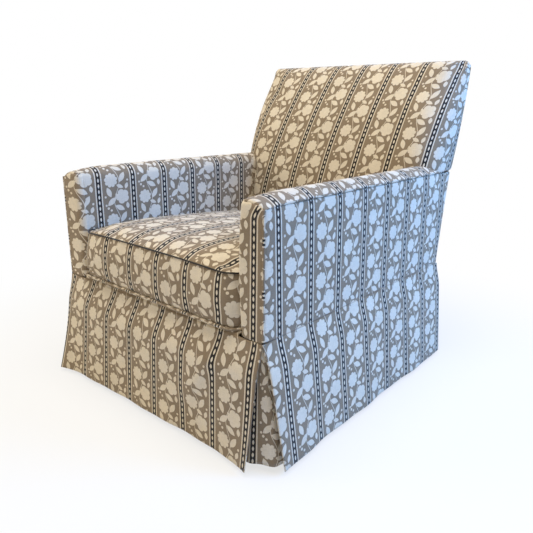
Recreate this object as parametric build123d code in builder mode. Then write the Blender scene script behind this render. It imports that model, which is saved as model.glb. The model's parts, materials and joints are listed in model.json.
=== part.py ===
from build123d import *
import os
from math import cos, radians, sin, sqrt, tan

os.makedirs("parts", exist_ok=True)

# Skirted swivel armchair, in millimetres. The origin is on the floor under the swivel axis,
# the front of the chair faces -Y and +Z is up.

# Overall sizes
overall_depth = 1016
overall_height = 950
arm_span = 770
frame_depth = 851
arm_thickness = 72
arm_seam_height = 614
arm_crown = 24
seam_height = 320

# Clearances
soft_gap = 0.3
cushion_gap = 1.3
bolt_gap = 0.15
running_gap = 0.05

# Skirt
hem_height = 12
cloth = 3
corner_flare = 48
front_belly = 22
front_hem_flare = 24
side_belly = 12
side_flare = 34
side_tip_flare = 48
rear_flare = 20
pleat_lean = 20
skirt_corner_lean = 39
side_front_lean = 25
side_rear_lean = 16
rear_lean = 10
belly_drop = 58
fold_count = 6
seam_wave = 0.2
belly_wave = 3
hem_wave = 7
tack_strip_height = 18
tack_strip_end = 64
pleat_reach = 48
pleat_hem_reach = 84
pleat_slant = 32
pleat_side_out = 30
pleat_front_out = 12
pleat_rear_side_out = 20
pleat_rear_out = 8

# Inside back
back_hollow = 24
ridge_radius = 22
back_tuck = 15
back_bend_rise = 150
back_thickness = 129
back_lower_lean = 24
back_roll = 43
back_edge_setback = 55
back_edge_drop = 45
back_edge_unroll = 18
back_stations = (0.95, 0.86, 0.6)
outside_back_drop = 45
outside_back_corner = 70

# Covers and padding
cover_thickness = 6
arm_padding = 22
arm_crown_inset = 32
arm_crown_bow = 5
facing_thickness = 14
facing_rise = 6
facing_corner = 16
facing_slope = 8
deck_thickness = 24
deck_rear_gap = 30
edge_roll_width = 16
edge_roll_height = 26
dust_cover_thickness = 1.2
dust_cover_inset = 10
rail_pad_inset = 3
rail_pad_height = 100
rail_pad_drop = 20

# Hardwood frame
frame_bottom = 150
rail_drop = 20
rail_thickness = 26
rail_corner_radius = 14
stringer_width = 70
stringer_thickness = 30
arm_post_depth = 26
arm_rail_thickness = 30
arm_lower_rail_height = 45
back_post_inset = 14
back_post_depth_bottom = 56
back_post_depth_top = 20
back_post_drop = 100
back_rail_height = 52
back_lower_rail_rise = 120
corner_block_leg = 70
corner_block_height = 90
cleat_thickness = 24
cleat_height = 45

# Springs and webbing
seat_pitch = 4
spring_wire = 3.6
spring_count = 4
spring_spacing = 150
spring_pitch = 39
spring_width = 52
spring_overlap = 8
clip_length = 18
clip_wall = 2
strap_width = 60
strap_thickness = 2
strap_gap = 0.5
strap_count = 4
strap_spacing = 140

# Seat cushion
cushion_rear_gap = 32
cushion_boxing = 138
cushion_crown = 26
cushion_draw_in = 5
cushion_corner = 30
cushion_front_inset = 2
cover_cloth = 5
welt_radius = 3
zip_length = 420
zip_width = 24
zip_thickness = 1.6
slider_length = 14
slider_width = 9
slider_height = 2.6

# Swivel and base
plate_size = 200
plate_corner = 18
plate_thickness = 3
hub_thickness = 5
ball_diameter = 10
ball_circle_radius = 80
ball_count = 12
race_half_width = 10
race_floor = 3
race_gap = 1
cage_thickness = 1
cage_half_width = 9
king_diameter = 12
king_head_height = 8
king_washer_diameter = 34
king_washer_thickness = 2.5
king_nut_height = 10
hex_ratio = 1.8
plate_bolt_spacing = 160
plate_bolt_diameter = 8
plate_bolt_head_height = 5
plate_bolt_bite_depth = 22
bolt_point_length = 3
arm_root_radius = 34
base_knee_radius = 100
weld_depth = 1
foot_radius = 300
foot_overhang = 18
base_arm_root_height = 50
base_arm_tip_height = 26
base_arm_root_width = 54
base_arm_tip_width = 40
base_arm_tip_top = 46
base_wall = 3
glide_diameter = 36
glide_height = 10
glide_stem = 10

# Places worked out from the sizes above
arm_half = arm_span / 2
arm_inner = arm_half - arm_thickness
front_plane = corner_flare - overall_depth / 2
back_plane = front_plane + frame_depth
rail_front = front_plane + cover_thickness
rail_rear = back_plane - cover_thickness - soft_gap
rail_side = arm_half - cover_thickness
side_rail_inner = rail_side - rail_thickness
front_rail_inner = rail_front + rail_thickness
rear_rail_inner = rail_rear - rail_thickness
frame_inner_face = arm_inner + arm_padding + soft_gap
post_front = front_plane + facing_thickness + soft_gap
rail_top = seam_height - rail_drop
arm_height = arm_seam_height + arm_crown
arm_crown_x = arm_inner + arm_crown_inset
facing_top = arm_seam_height + facing_rise
belly_height = seam_height - belly_drop
rail_pad_top = rail_top - rail_pad_drop
rail_pad_bottom = rail_pad_top - rail_pad_height
back_bottom = rail_top - back_tuck
back_bend_height = seam_height + back_bend_rise
inside_depth = frame_depth - back_thickness
back_bend_y = front_plane + inside_depth
back_post_top = overall_height - back_post_drop
back_lower_rail_bottom = rail_top + back_lower_rail_rise
outside_back_top = overall_height - outside_back_drop
cushion_depth = inside_depth - cushion_rear_gap
sides = (("left", -1), ("right", 1))

# The outside of the back is one arc in side view, hollow towards the rear
arc_low = Vector(back_plane, seam_height)
arc_high = Vector(overall_depth / 2, overall_height - ridge_radius)
arc_chord = arc_high - arc_low
arc_radius = arc_chord.length**2 / (8 * back_hollow) + back_hollow / 2
arc_normal = Vector(arc_chord.Y, -arc_chord.X).normalized()
arc_center = (arc_low + arc_high) * 0.5 + arc_normal * (arc_radius - back_hollow)


def rear_y(height):
    return arc_center.X - sqrt(arc_radius**2 - (height - arc_center.Y) ** 2)


def rear_arc(low, high, inset):
    middle = (low + high) / 2
    ThreePointArc(
        (rear_y(low) - inset, low), (rear_y(middle) - inset, middle), (rear_y(high) - inset, high)
    )


# The back frame follows that arc and grows thinner towards the top
post_outer = arm_half - back_post_inset
post_rear = cover_thickness + 2 * soft_gap
arm_post_rear = post_front + arm_post_depth


def post_front_y(height):
    share = (height - rail_top) / (back_post_top - rail_top)
    depth = back_post_depth_bottom + share * (back_post_depth_top - back_post_depth_bottom)
    return rear_y(height) - post_rear - depth


def post_front_arc(low, high, gap):
    middle = (low + high) / 2
    points = [(post_front_y(height) - gap, height) for height in (low, middle, high)]
    ThreePointArc(*points)


def back_frame_profile(low, high, front_gap, rear_inset):
    with BuildLine() as outline:
        post_front_arc(low, high, front_gap)
        rear_arc(low, high, rear_inset)
        for height in (low, high):
            Line(
                (post_front_y(height) - front_gap, height), (rear_y(height) - rear_inset, height)
            )
    make_face(outline.edges())


# Swivel heights, from the frame down to the base
upper_plate_top = frame_bottom - dust_cover_thickness
upper_plate_bottom = upper_plate_top - plate_thickness
ball_radius = ball_diameter / 2
ball_height = upper_plate_bottom - race_floor - ball_radius - running_gap
lower_plate_top = ball_height - race_floor - ball_radius - running_gap
lower_plate_bottom = lower_plate_top - plate_thickness
hub_top = lower_plate_bottom
hub_bottom = hub_top - hub_thickness
king_hole = king_diameter / 2 + running_gap
plate_bolt_hole = plate_bolt_diameter / 2 + bolt_gap

# Four-arm steel base: a hub plate on four open channels that taper down to the feet.
# Each station is a radius, the height of the channel's roof there, its depth and its width.
tip_radius = foot_radius + foot_overhang
weld_height = hub_bottom + weld_depth
arm_stations = (
    (arm_root_radius, weld_height, base_arm_root_height, base_arm_root_width),
    (base_knee_radius, weld_height, base_arm_root_height, base_arm_root_width),
    (tip_radius, base_arm_tip_top, base_arm_tip_height, base_arm_tip_width),
)


def base_arm_form(angle, wall):
    out = Vector(cos(radians(angle)), sin(radians(angle)), 0)
    across = Vector(-out.Y, out.X, 0)
    with BuildPart() as form:
        for radius, roof, height, width in arm_stations:
            end_wall = -wall if radius == tip_radius else wall
            place = out * (radius + end_wall) + Vector(0, 0, roof - wall)
            with BuildSketch(Plane(place, x_dir=across, z_dir=out)):
                Rectangle(width - 2 * wall, height, align=(Align.CENTER, Align.MAX))
        loft(ruled=True)
    return form.part


with BuildPart() as base_spider:
    for angle in (0, 90, 180, 270):
        add(base_arm_form(angle, 0))
    for angle in (0, 90, 180, 270):
        add(base_arm_form(angle, base_wall), mode=Mode.SUBTRACT)
    with BuildSketch(Plane.XY.offset(hub_bottom)):
        RectangleRounded(plate_size, plate_size, plate_corner)
    extrude(amount=hub_thickness)
    with Locations((0, 0, hub_top)):
        Hole(king_diameter / 2 + bolt_gap, depth=hub_thickness)
    with Locations(Plane.XY.offset(hub_top)):
        with GridLocations(plate_bolt_spacing, plate_bolt_spacing, 2, 2):
            Hole(plate_bolt_hole, depth=hub_thickness)
        with PolarLocations(foot_radius, 4):
            Hole(glide_stem / 2 + bolt_gap, depth=hub_top - glide_height)
base_spider.part.label = "base_spider"
export_step(base_spider.part, "parts/base_spider.step")

# Levelling glides: nylon pads on stems, with a collar that carries the channel's roof
roof_slope = (weld_height - base_arm_tip_top) / (tip_radius - base_knee_radius - 2 * base_wall)
collar_radius = glide_stem
collar_run = foot_overhang - base_wall - collar_radius
collar_top = base_arm_tip_top - base_wall + roof_slope * collar_run - soft_gap
stem_top = base_arm_tip_top + roof_slope * foot_overhang + base_wall

with BuildPart() as floor_glides:
    with PolarLocations(foot_radius, 4):
        Cylinder(glide_diameter / 2, glide_height, align=(Align.CENTER, Align.CENTER, Align.MIN))
        Cylinder(collar_radius, collar_top, align=(Align.CENTER, Align.CENTER, Align.MIN))
        Cylinder(glide_stem / 2, stem_top, align=(Align.CENTER, Align.CENTER, Align.MIN))
floor_glides.part.label = "floor_glides"
export_step(floor_glides.part, "parts/floor_glides.step")


# A bearing plate: a square plate and a race ring with a round groove for the balls
def bearing_plate(plate_level, ring_start, ring_end, center_hole):
    with BuildPart() as plate:
        with BuildSketch(Plane.XY.offset(plate_level)):
            RectangleRounded(plate_size, plate_size, plate_corner)
            Circle(center_hole, mode=Mode.SUBTRACT)
            with GridLocations(plate_bolt_spacing, plate_bolt_spacing, 2, 2):
                Circle(plate_bolt_hole, mode=Mode.SUBTRACT)
        extrude(amount=plate_thickness)
        with BuildSketch(Plane.XY.offset(ring_start)):
            Circle(ball_circle_radius + race_half_width)
            Circle(ball_circle_radius - race_half_width, mode=Mode.SUBTRACT)
        extrude(amount=ring_end - ring_start)
        with BuildSketch(Plane.XZ):
            with Locations((ball_circle_radius, ball_height)):
                Circle(ball_radius + running_gap)
        revolve(axis=Axis.Z, mode=Mode.SUBTRACT)
    return plate.part


with BuildPart() as lower_bearing_plate:
    add(
        bearing_plate(
            lower_plate_bottom, lower_plate_top, ball_height - race_gap, king_diameter / 2 + bolt_gap
        )
    )
lower_bearing_plate.part.label = "lower_bearing_plate"
export_step(lower_bearing_plate.part, "parts/lower_bearing_plate.step")

with BuildPart() as upper_bearing_plate:
    add(bearing_plate(upper_plate_bottom, ball_height + race_gap, upper_plate_bottom, king_hole))
upper_bearing_plate.part.label = "upper_bearing_plate"
export_step(upper_bearing_plate.part, "parts/upper_bearing_plate.step")

with BuildPart() as ball_cage:
    with BuildSketch(Plane.XY.offset(ball_height - cage_thickness / 2)):
        Circle(ball_circle_radius + cage_half_width)
        Circle(ball_circle_radius - cage_half_width, mode=Mode.SUBTRACT)
        with PolarLocations(ball_circle_radius, ball_count):
            Circle(ball_radius + bolt_gap, mode=Mode.SUBTRACT)
    extrude(amount=cage_thickness)
ball_cage.part.label = "ball_cage"
export_step(ball_cage.part, "parts/ball_cage.step")

with BuildPart() as bearing_balls:
    with Locations(Plane.XY.offset(ball_height)):
        with PolarLocations(ball_circle_radius, ball_count):
            Sphere(ball_radius)
bearing_balls.part.label = "bearing_balls"
export_step(bearing_balls.part, "parts/bearing_balls.step")

# King bolt that keeps the two plates together, with its washer and lock nut
king_washer_bottom = upper_plate_top + soft_gap
king_nut_bottom = king_washer_bottom + king_washer_thickness
king_end = king_nut_bottom + king_nut_height + base_wall

with BuildPart() as king_bolt:
    with BuildSketch(Plane.XY.offset(hub_bottom - king_head_height)):
        RegularPolygon(king_diameter * hex_ratio / 2, 6)
    extrude(amount=king_head_height)
    with Locations((0, 0, hub_bottom)):
        Cylinder(
            king_diameter / 2, king_end - hub_bottom, align=(Align.CENTER, Align.CENTER, Align.MIN)
        )
king_bolt.part.label = "king_bolt"
export_step(king_bolt.part, "parts/king_bolt.step")

with BuildPart() as king_washer_ring:
    with BuildSketch(Plane.XY.offset(king_washer_bottom)):
        Circle(king_washer_diameter / 2)
        Circle(king_hole, mode=Mode.SUBTRACT)
    extrude(amount=king_washer_thickness)
king_washer_ring.part.label = "king_washer"
export_step(king_washer_ring.part, "parts/king_washer.step")

with BuildPart() as king_lock_nut:
    with BuildSketch(Plane.XY.offset(king_nut_bottom)):
        RegularPolygon(king_diameter * hex_ratio / 2, 6)
        Circle(king_hole, mode=Mode.SUBTRACT)
    extrude(amount=king_nut_height)
king_lock_nut.part.label = "king_nut"
export_step(king_lock_nut.part, "parts/king_nut.step")


# A set of four plate bolts: a hexagon head, a shank and, where there is one, a nut
def plate_bolts(head_bottom, shank_bottom, shank_top, nut_bottom):
    blocks = [
        (head_bottom, plate_bolt_head_height, True),
        (shank_bottom, shank_top - shank_bottom, False),
    ]
    if nut_bottom is not None:
        blocks.append((nut_bottom, plate_bolt_head_height, True))
    with BuildPart() as bolts:
        for bottom, height, is_hexagon in blocks:
            with BuildSketch(Plane.XY.offset(bottom)):
                with GridLocations(plate_bolt_spacing, plate_bolt_spacing, 2, 2):
                    if is_hexagon:
                        RegularPolygon(plate_bolt_diameter * hex_ratio / 2, 6)
                    else:
                        Circle(plate_bolt_diameter / 2)
            extrude(amount=height)
    return bolts.part


with BuildPart() as base_bolts:
    nut_bottom = hub_bottom - plate_bolt_head_height
    add(plate_bolts(lower_plate_top, nut_bottom - bolt_point_length, lower_plate_top, nut_bottom))
base_bolts.part.label = "base_bolts"
export_step(base_bolts.part, "parts/base_bolts.step")

with BuildPart() as frame_bolts:
    head_bottom = upper_plate_bottom - plate_bolt_head_height
    bite_top = upper_plate_top + plate_bolt_bite_depth
    add(plate_bolts(head_bottom, upper_plate_bottom, bite_top, None))
frame_bolts.part.label = "frame_bolts"
export_step(frame_bolts.part, "parts/frame_bolts.step")

# Seat rails: the front rail runs right across, the side rails butt behind it
rail_height = rail_top - frame_bottom

with BuildPart() as front_rail:
    with BuildSketch(Plane.XY.offset(frame_bottom)):
        with Locations((0, rail_front)):
            Rectangle(2 * rail_side, rail_thickness, align=(Align.CENTER, Align.MIN))
        fillet(vertices().group_by(Axis.Y)[0], rail_corner_radius)
    extrude(amount=rail_height)
front_rail.part.label = "front_rail"
export_step(front_rail.part, "parts/front_rail.step")

with BuildPart() as rear_rail:
    with BuildSketch(Plane.XY.offset(frame_bottom)):
        with Locations((0, rear_rail_inner)):
            Rectangle(2 * side_rail_inner, rail_thickness, align=(Align.CENTER, Align.MIN))
    extrude(amount=rail_height)
rear_rail.part.label = "rear_rail"
export_step(rear_rail.part, "parts/rear_rail.step")

for side, sign in sides:
    with BuildPart() as side_rail:
        with BuildSketch(Plane.XY.offset(frame_bottom)):
            with Locations((sign * (side_rail_inner + rail_side) / 2, front_rail_inner)):
                Rectangle(
                    rail_thickness, rail_rear - front_rail_inner, align=(Align.CENTER, Align.MIN)
                )
            rear_corner = vertices().group_by(Axis.Y)[-1].sort_by(Axis.X)
            fillet(rear_corner[-1 if sign > 0 else 0], rail_corner_radius)
        extrude(amount=rail_height)
    side_rail.part.label = f"{side}_side_rail"
    export_step(side_rail.part, f"parts/{side}_side_rail.step")

    # Stringer that the swivel plate is bolted to
    with BuildPart() as stringer:
        with BuildSketch(Plane.XY.offset(frame_bottom)):
            with Locations((sign * plate_bolt_spacing / 2, front_rail_inner)):
                Rectangle(
                    stringer_width,
                    rear_rail_inner - front_rail_inner,
                    align=(Align.CENTER, Align.MIN),
                )
            with Locations((sign * plate_bolt_spacing / 2, 0)):
                with GridLocations(0, plate_bolt_spacing, 1, 2):
                    Circle(plate_bolt_hole, mode=Mode.SUBTRACT)
        extrude(amount=stringer_thickness)
    stringer.part.label = f"{side}_stringer"
    export_step(stringer.part, f"parts/{side}_stringer.step")

    # Front arm post, standing on the front rail behind the facing
    with BuildPart() as arm_post:
        with BuildSketch(Plane.XY.offset(rail_top)):
            with Locations((sign * (frame_inner_face + rail_side) / 2, post_front)):
                Rectangle(
                    rail_side - soft_gap - frame_inner_face,
                    arm_post_depth,
                    align=(Align.CENTER, Align.MIN),
                )
        extrude(amount=arm_seam_height - soft_gap - rail_top)
    arm_post.part.label = f"{side}_arm_post"
    export_step(arm_post.part, f"parts/{side}_arm_post.step")

    # Arm rails: one under the arm's top, one on the side rail that the outside cover is tacked to
    with BuildPart() as arm_rail:
        rail_end = post_front_y(arm_seam_height - arm_rail_thickness) - soft_gap
        with BuildSketch(Plane.XY.offset(arm_seam_height - soft_gap - arm_rail_thickness)):
            with Locations((sign * (frame_inner_face + rail_side) / 2, arm_post_rear)):
                Rectangle(
                    rail_side - soft_gap - frame_inner_face,
                    rail_end - arm_post_rear,
                    align=(Align.CENTER, Align.MIN),
                )
        extrude(amount=arm_rail_thickness)
    arm_rail.part.label = f"{side}_arm_rail"
    export_step(arm_rail.part, f"parts/{side}_arm_rail.step")

    with BuildPart() as arm_lower_rail:
        rail_end = post_front_y(rail_top) - soft_gap
        with BuildSketch(Plane.XY.offset(rail_top)):
            with Locations((sign * (side_rail_inner + rail_side) / 2, arm_post_rear)):
                Rectangle(
                    rail_thickness - soft_gap,
                    rail_end - arm_post_rear,
                    align=(Align.CENTER, Align.MIN),
                )
        extrude(amount=arm_lower_rail_height)
    arm_lower_rail.part.label = f"{side}_arm_lower_rail"
    export_step(arm_lower_rail.part, f"parts/{side}_arm_lower_rail.step")

    # Back post, sawn to the curve of the back and standing on the side rail
    with BuildPart() as back_post:
        with BuildSketch(Plane.YZ.offset(sign * (post_outer - rail_thickness / 2))):
            back_frame_profile(rail_top, back_post_top, 0, post_rear)
        extrude(amount=rail_thickness / 2, both=True)
    back_post.part.label = f"{side}_back_post"
    export_step(back_post.part, f"parts/{side}_back_post.step")

# Rails between the back posts
back_rails = (
    ("back_top_rail", back_post_top - back_rail_height),
    ("back_lower_rail", back_lower_rail_bottom),
)
for name, bottom in back_rails:
    with BuildPart() as back_rail:
        with BuildSketch(Plane.YZ):
            back_frame_profile(bottom, bottom + back_rail_height, 0, post_rear)
        extrude(amount=post_outer - rail_thickness, both=True)
    back_rail.part.label = name
    export_step(back_rail.part, f"parts/{name}.step")

# Elastic webbing up the back, tacked to the front of both rails
with BuildPart() as back_webbing:
    strap_low = back_lower_rail_bottom + back_rail_height / 4
    strap_high = back_post_top - back_rail_height / 4
    for number in range(strap_count):
        x = (number - (strap_count - 1) / 2) * strap_spacing
        with BuildSketch(Plane.YZ.offset(x)):
            with BuildLine():
                post_front_arc(strap_low, strap_high, strap_gap)
                post_front_arc(strap_low, strap_high, strap_gap + strap_thickness)
                for height in (strap_low, strap_high):
                    y = post_front_y(height) - strap_gap
                    Line((y, height), (y - strap_thickness, height))
            make_face()
        extrude(amount=strap_width / 2, both=True)
back_webbing.part.label = "back_webbing"
export_step(back_webbing.part, "parts/back_webbing.step")

# Glued blocks in the front corners of the seat frame
with BuildPart() as corner_blocks:
    with BuildSketch(Plane.XY.offset(frame_bottom + stringer_thickness)):
        for side, sign in sides:
            with BuildLine():
                Polyline(
                    (sign * side_rail_inner, front_rail_inner),
                    (sign * (side_rail_inner - corner_block_leg), front_rail_inner),
                    (sign * side_rail_inner, front_rail_inner + corner_block_leg),
                    close=True,
                )
            make_face()
    extrude(amount=corner_block_height)
corner_blocks.part.label = "corner_blocks"
export_step(corner_blocks.part, "parts/corner_blocks.step")

# The seat is laid on a plane that falls to the rear from the back edge of the front rail
pitch = radians(seat_pitch)
seat_plane = Plane(
    (0, front_rail_inner, rail_top), x_dir=(1, 0, 0), z_dir=(0, sin(pitch), cos(pitch))
)


def seat_height(y):
    return rail_top - (y - front_rail_inner) * tan(pitch)


with BuildPart() as spring_cleat:
    cleat_front = rear_rail_inner - cleat_thickness
    with BuildSketch(Plane.YZ):
        with BuildLine():
            Polyline(
                (cleat_front, seat_height(cleat_front)),
                (rear_rail_inner, seat_height(rear_rail_inner)),
                (rear_rail_inner, seat_height(rear_rail_inner) - cleat_height),
                (cleat_front, seat_height(rear_rail_inner) - cleat_height),
                close=True,
            )
        make_face()
    extrude(amount=side_rail_inner, both=True)
spring_cleat.part.label = "spring_cleat"
export_step(spring_cleat.part, "parts/spring_cleat.step")

# Sinuous springs: each strand snakes from the front rail to the cleat
spring_end = (rear_rail_inner - cleat_thickness / 2 - front_rail_inner) / cos(pitch)
spring_start = -spring_overlap
spring_half_waves = 2 * round((spring_end - spring_start) / (2 * spring_pitch))
spring_step = (spring_end - spring_start) / spring_half_waves
turn_radius = spring_step / 2
run_half = spring_width / 2 - turn_radius
strand_places = [(n - (spring_count - 1) / 2) * spring_spacing for n in range(spring_count)]

with BuildPart() as seat_springs:
    for x in strand_places:
        with BuildSketch(seat_plane):
            with BuildLine():
                for n in range(spring_half_waves + 1):
                    y = spring_start + n * spring_step
                    hand = 1 if n % 2 == 0 else -1
                    Line((x - hand * run_half, y), (x + hand * run_half, y))
                    if n < spring_half_waves:
                        ThreePointArc(
                            (x + hand * run_half, y),
                            (x + hand * spring_width / 2, y + turn_radius),
                            (x + hand * run_half, y + spring_step),
                        )
            trace(line_width=spring_wire)
        extrude(amount=spring_wire)
seat_springs.part.label = "seat_springs"
export_step(seat_springs.part, "parts/seat_springs.step")

# Clips that hold the end runs of the strands down
with BuildPart() as spring_clips:
    slot = spring_wire + 2 * bolt_gap
    for y in (spring_start, spring_end):
        for x in strand_places:
            with BuildSketch(seat_plane):
                with Locations((x, y)):
                    Rectangle(run_half * 2 - clip_wall, slot + 2 * clip_wall)
            extrude(amount=spring_wire + bolt_gap + clip_wall)
            with BuildSketch(seat_plane):
                with Locations((x, y)):
                    Rectangle(clip_length, slot)
            extrude(amount=spring_wire + bolt_gap, mode=Mode.SUBTRACT)
spring_clips.part.label = "spring_clips"
export_step(spring_clips.part, "parts/spring_clips.step")

# Padded deck over the springs and the stuffed roll along its front edge
with BuildPart() as seat_deck:
    with BuildSketch(seat_plane.offset(spring_wire + clip_wall + soft_gap)):
        with Locations((0, spring_start)):
            deck_length = (rear_rail_inner - deck_rear_gap - front_rail_inner) / cos(pitch)
            Rectangle(
                2 * (arm_inner - cushion_gap),
                deck_length - spring_start,
                align=(Align.CENTER, Align.MIN),
            )
    extrude(amount=deck_thickness)
seat_deck.part.label = "seat_deck"
export_step(seat_deck.part, "parts/seat_deck.step")

with BuildPart() as front_edge_roll:
    with BuildSketch(Plane.YZ):
        with Locations((front_plane + cloth, rail_top)):
            Rectangle(edge_roll_width, edge_roll_height, align=(Align.MIN, Align.MIN))
        fillet(vertices().group_by(Axis.Y)[-1], edge_roll_width / 2 - soft_gap)
    extrude(amount=arm_inner - cushion_gap, both=True)
front_edge_roll.part.label = "front_edge_roll"
export_step(front_edge_roll.part, "parts/front_edge_roll.step")

# Padding on the face of the front rail, under the skirt
with BuildPart() as front_rail_pad:
    with BuildSketch(Plane.YZ):
        with BuildLine():
            pad_middle = (rail_pad_bottom + rail_pad_top) / 2
            pad_face = front_plane - front_belly + 2 * cloth
            Line((rail_front, rail_pad_bottom), (rail_front, rail_pad_top))
            ThreePointArc(
                (rail_front, rail_pad_bottom), (pad_face, pad_middle), (rail_front, rail_pad_top)
            )
        make_face()
    extrude(amount=arm_inner - rail_pad_inset, both=True)
front_rail_pad.part.label = "front_rail_pad"
export_step(front_rail_pad.part, "parts/front_rail_pad.step")


# Inside back: side profiles stood across the chair, set back and lowered towards the edges
def back_profile(x, grow):
    reach = min(abs(x) / arm_half, 1)
    edge = reach**4
    top = overall_height - back_edge_drop * reach**8
    foot_y = back_bend_y - back_lower_lean + back_edge_setback * edge - grow
    bend = Vector(back_bend_y + back_edge_setback * edge - grow, back_bend_height)
    shoulder = Vector(rear_y(top - ridge_radius), top - ridge_radius)
    ridge = Vector(shoulder.X - ridge_radius, top)
    chord = ridge - bend
    normal = Vector(-chord.Y, chord.X).normalized()
    belly = (bend + ridge) * 0.5 + normal * (back_roll - back_edge_unroll * edge)
    round_off = ridge_radius * (1 - sqrt(0.5))
    with BuildLine() as outline:
        Line((foot_y, back_bottom), bend)
        ThreePointArc(bend, belly, ridge)
        ThreePointArc(ridge, (shoulder.X - round_off, top - round_off), shoulder)
        rear_arc(back_bottom, top - ridge_radius, 0)
        Line((rear_y(back_bottom), back_bottom), (foot_y, back_bottom))
    make_face(outline.edges())


def back_form(grow):
    outer = arm_half + grow
    with BuildPart() as form:
        for x in (-outer, *(-k * arm_half for k in back_stations), 0):
            with BuildSketch(Plane.YZ.offset(x)):
                back_profile(x, grow)
        for x in (*(k * arm_half for k in reversed(back_stations)), outer):
            with BuildSketch(Plane.YZ.offset(x)):
                back_profile(x, grow)
        loft()
    return form.part


def outside_back_form(gap, thickness):
    with BuildPart() as form:
        with BuildSketch(Plane.YZ):
            with BuildLine():
                low = seam_height - gap
                rear_arc(low, outside_back_top + gap, -gap)
                rear_arc(low, outside_back_top + gap, thickness)
                for height in (low, outside_back_top + gap):
                    Line((rear_y(height) + gap, height), (rear_y(height) - thickness, height))
            make_face()
        extrude(amount=rail_side, both=True)
        with BuildSketch(Plane.XZ):
            with Locations((0, seam_height - gap)):
                Rectangle(
                    2 * (rail_side - soft_gap + gap),
                    outside_back_top - seam_height + 2 * gap,
                    align=(Align.CENTER, Align.MIN),
                )
            fillet(vertices().group_by(Axis.Y)[-1], outside_back_corner)
        extrude(amount=-overall_depth, mode=Mode.INTERSECT)
    return form.part


with BuildPart() as inside_back:
    add(back_form(0))
    for side, sign in sides:
        with Locations((sign * (arm_inner - cushion_gap), 0, back_bottom)):
            Box(
                arm_span,
                overall_depth * 2,
                arm_seam_height + soft_gap - back_bottom,
                align=(Align.MIN if sign > 0 else Align.MAX, Align.CENTER, Align.MIN),
                mode=Mode.SUBTRACT,
            )
    with BuildSketch(Plane.YZ):
        pocket_top = back_post_top + soft_gap
        back_frame_profile(back_bottom, pocket_top, strap_gap * 2 + strap_thickness, -cloth)
    extrude(amount=post_outer + soft_gap, both=True, mode=Mode.SUBTRACT)
    add(outside_back_form(soft_gap, cover_thickness + soft_gap), mode=Mode.SUBTRACT)
inside_back.part.label = "inside_back"
export_step(inside_back.part, "parts/inside_back.step")

with BuildPart() as outside_back:
    add(outside_back_form(0, cover_thickness))
outside_back.part.label = "outside_back"
export_step(outside_back.part, "parts/outside_back.step")

# Arms: a padded wrap over the inside and the top, a facing at the front, a cover outside
for side, sign in sides:
    with BuildPart() as arm_wrap:
        with BuildSketch(Plane.XZ.offset(-post_front)):
            with BuildLine():
                inner_face = sign * arm_inner
                padding_back = sign * (arm_inner + arm_padding)
                shoulder = (sign * (arm_inner + cloth), arm_seam_height)
                crown = (sign * arm_crown_x, arm_height)
                outer_lip = (sign * arm_half, arm_seam_height + cloth)
                wrap_bottom = rail_top + soft_gap
                Line((inner_face, wrap_bottom), shoulder)
                SagittaArc(shoulder, crown, sign * arm_crown_bow)
                SagittaArc(crown, outer_lip, sign * arm_crown_bow)
                Polyline(
                    outer_lip,
                    (sign * arm_half, arm_seam_height),
                    (padding_back, arm_seam_height),
                    (padding_back, wrap_bottom),
                    (inner_face, wrap_bottom),
                )
            make_face()
        extrude(amount=post_front - rear_rail_inner)
        add(back_form(soft_gap), mode=Mode.SUBTRACT)
    arm_wrap.part.label = f"{side}_arm_wrap"
    export_step(arm_wrap.part, f"parts/{side}_arm_wrap.step")

    with BuildPart() as arm_facing:
        with BuildSketch(Plane.XZ.offset(-front_plane)):
            with BuildLine():
                Polyline(
                    (sign * arm_inner, seam_height),
                    (sign * (arm_inner + cloth), facing_top),
                    (sign * arm_half, facing_top - facing_slope),
                    (sign * arm_half, seam_height),
                    close=True,
                )
            make_face()
            fillet(vertices().group_by(Axis.Y)[-1], facing_corner)
        extrude(amount=-facing_thickness)
    arm_facing.part.label = f"{side}_arm_facing"
    export_step(arm_facing.part, f"parts/{side}_arm_facing.step")

    with BuildPart() as outside_arm:
        with BuildSketch(Plane.YZ.offset(sign * rail_side)):
            with BuildLine():
                cover_top = arm_seam_height - soft_gap
                rear_arc(seam_height, cover_top, 0)
                Polyline(
                    (rear_y(cover_top), cover_top),
                    (post_front, cover_top),
                    (post_front, seam_height),
                    (rear_y(seam_height), seam_height),
                )
            make_face()
        extrude(amount=sign * cover_thickness)
    outside_arm.part.label = f"{side}_outside_arm"
    export_step(outside_arm.part, f"parts/{side}_outside_arm.step")

# Strips that the skirt is tacked to: on the front and rear rails and on the arms' lower rails
strip_depth = cover_thickness - soft_gap
strip_top = seam_height - 2 * cloth

with BuildPart() as skirt_tack_strips:
    with BuildSketch(Plane.XY.offset(rail_top - tack_strip_height)):
        for y, align in ((rail_front, Align.MAX), (rail_rear, Align.MIN)):
            with Locations((0, y)):
                Rectangle(
                    2 * (arm_half - tack_strip_end), strip_depth, align=(Align.CENTER, align)
                )
    extrude(amount=tack_strip_height)
    with BuildSketch(Plane.XY.offset(strip_top - tack_strip_height)):
        for side, sign in sides:
            with Locations((sign * (rail_side + strip_depth / 2), (front_plane + back_plane) / 2)):
                Rectangle(strip_depth, frame_depth - 2 * tack_strip_end)
    extrude(amount=tack_strip_height)
skirt_tack_strips.part.label = "skirt_tack_strips"
export_step(skirt_tack_strips.part, "parts/skirt_tack_strips.step")

# Skirt panels hang from the seam in soft folds. In a panel's own plane x runs along the panel
# and y points inwards. A level is a height, the two ends, how far the left end, the middle and
# the right end stand out, and the depth of the folds.
skirt_top = seam_height - soft_gap
skirt_start = cloth + soft_gap


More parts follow.
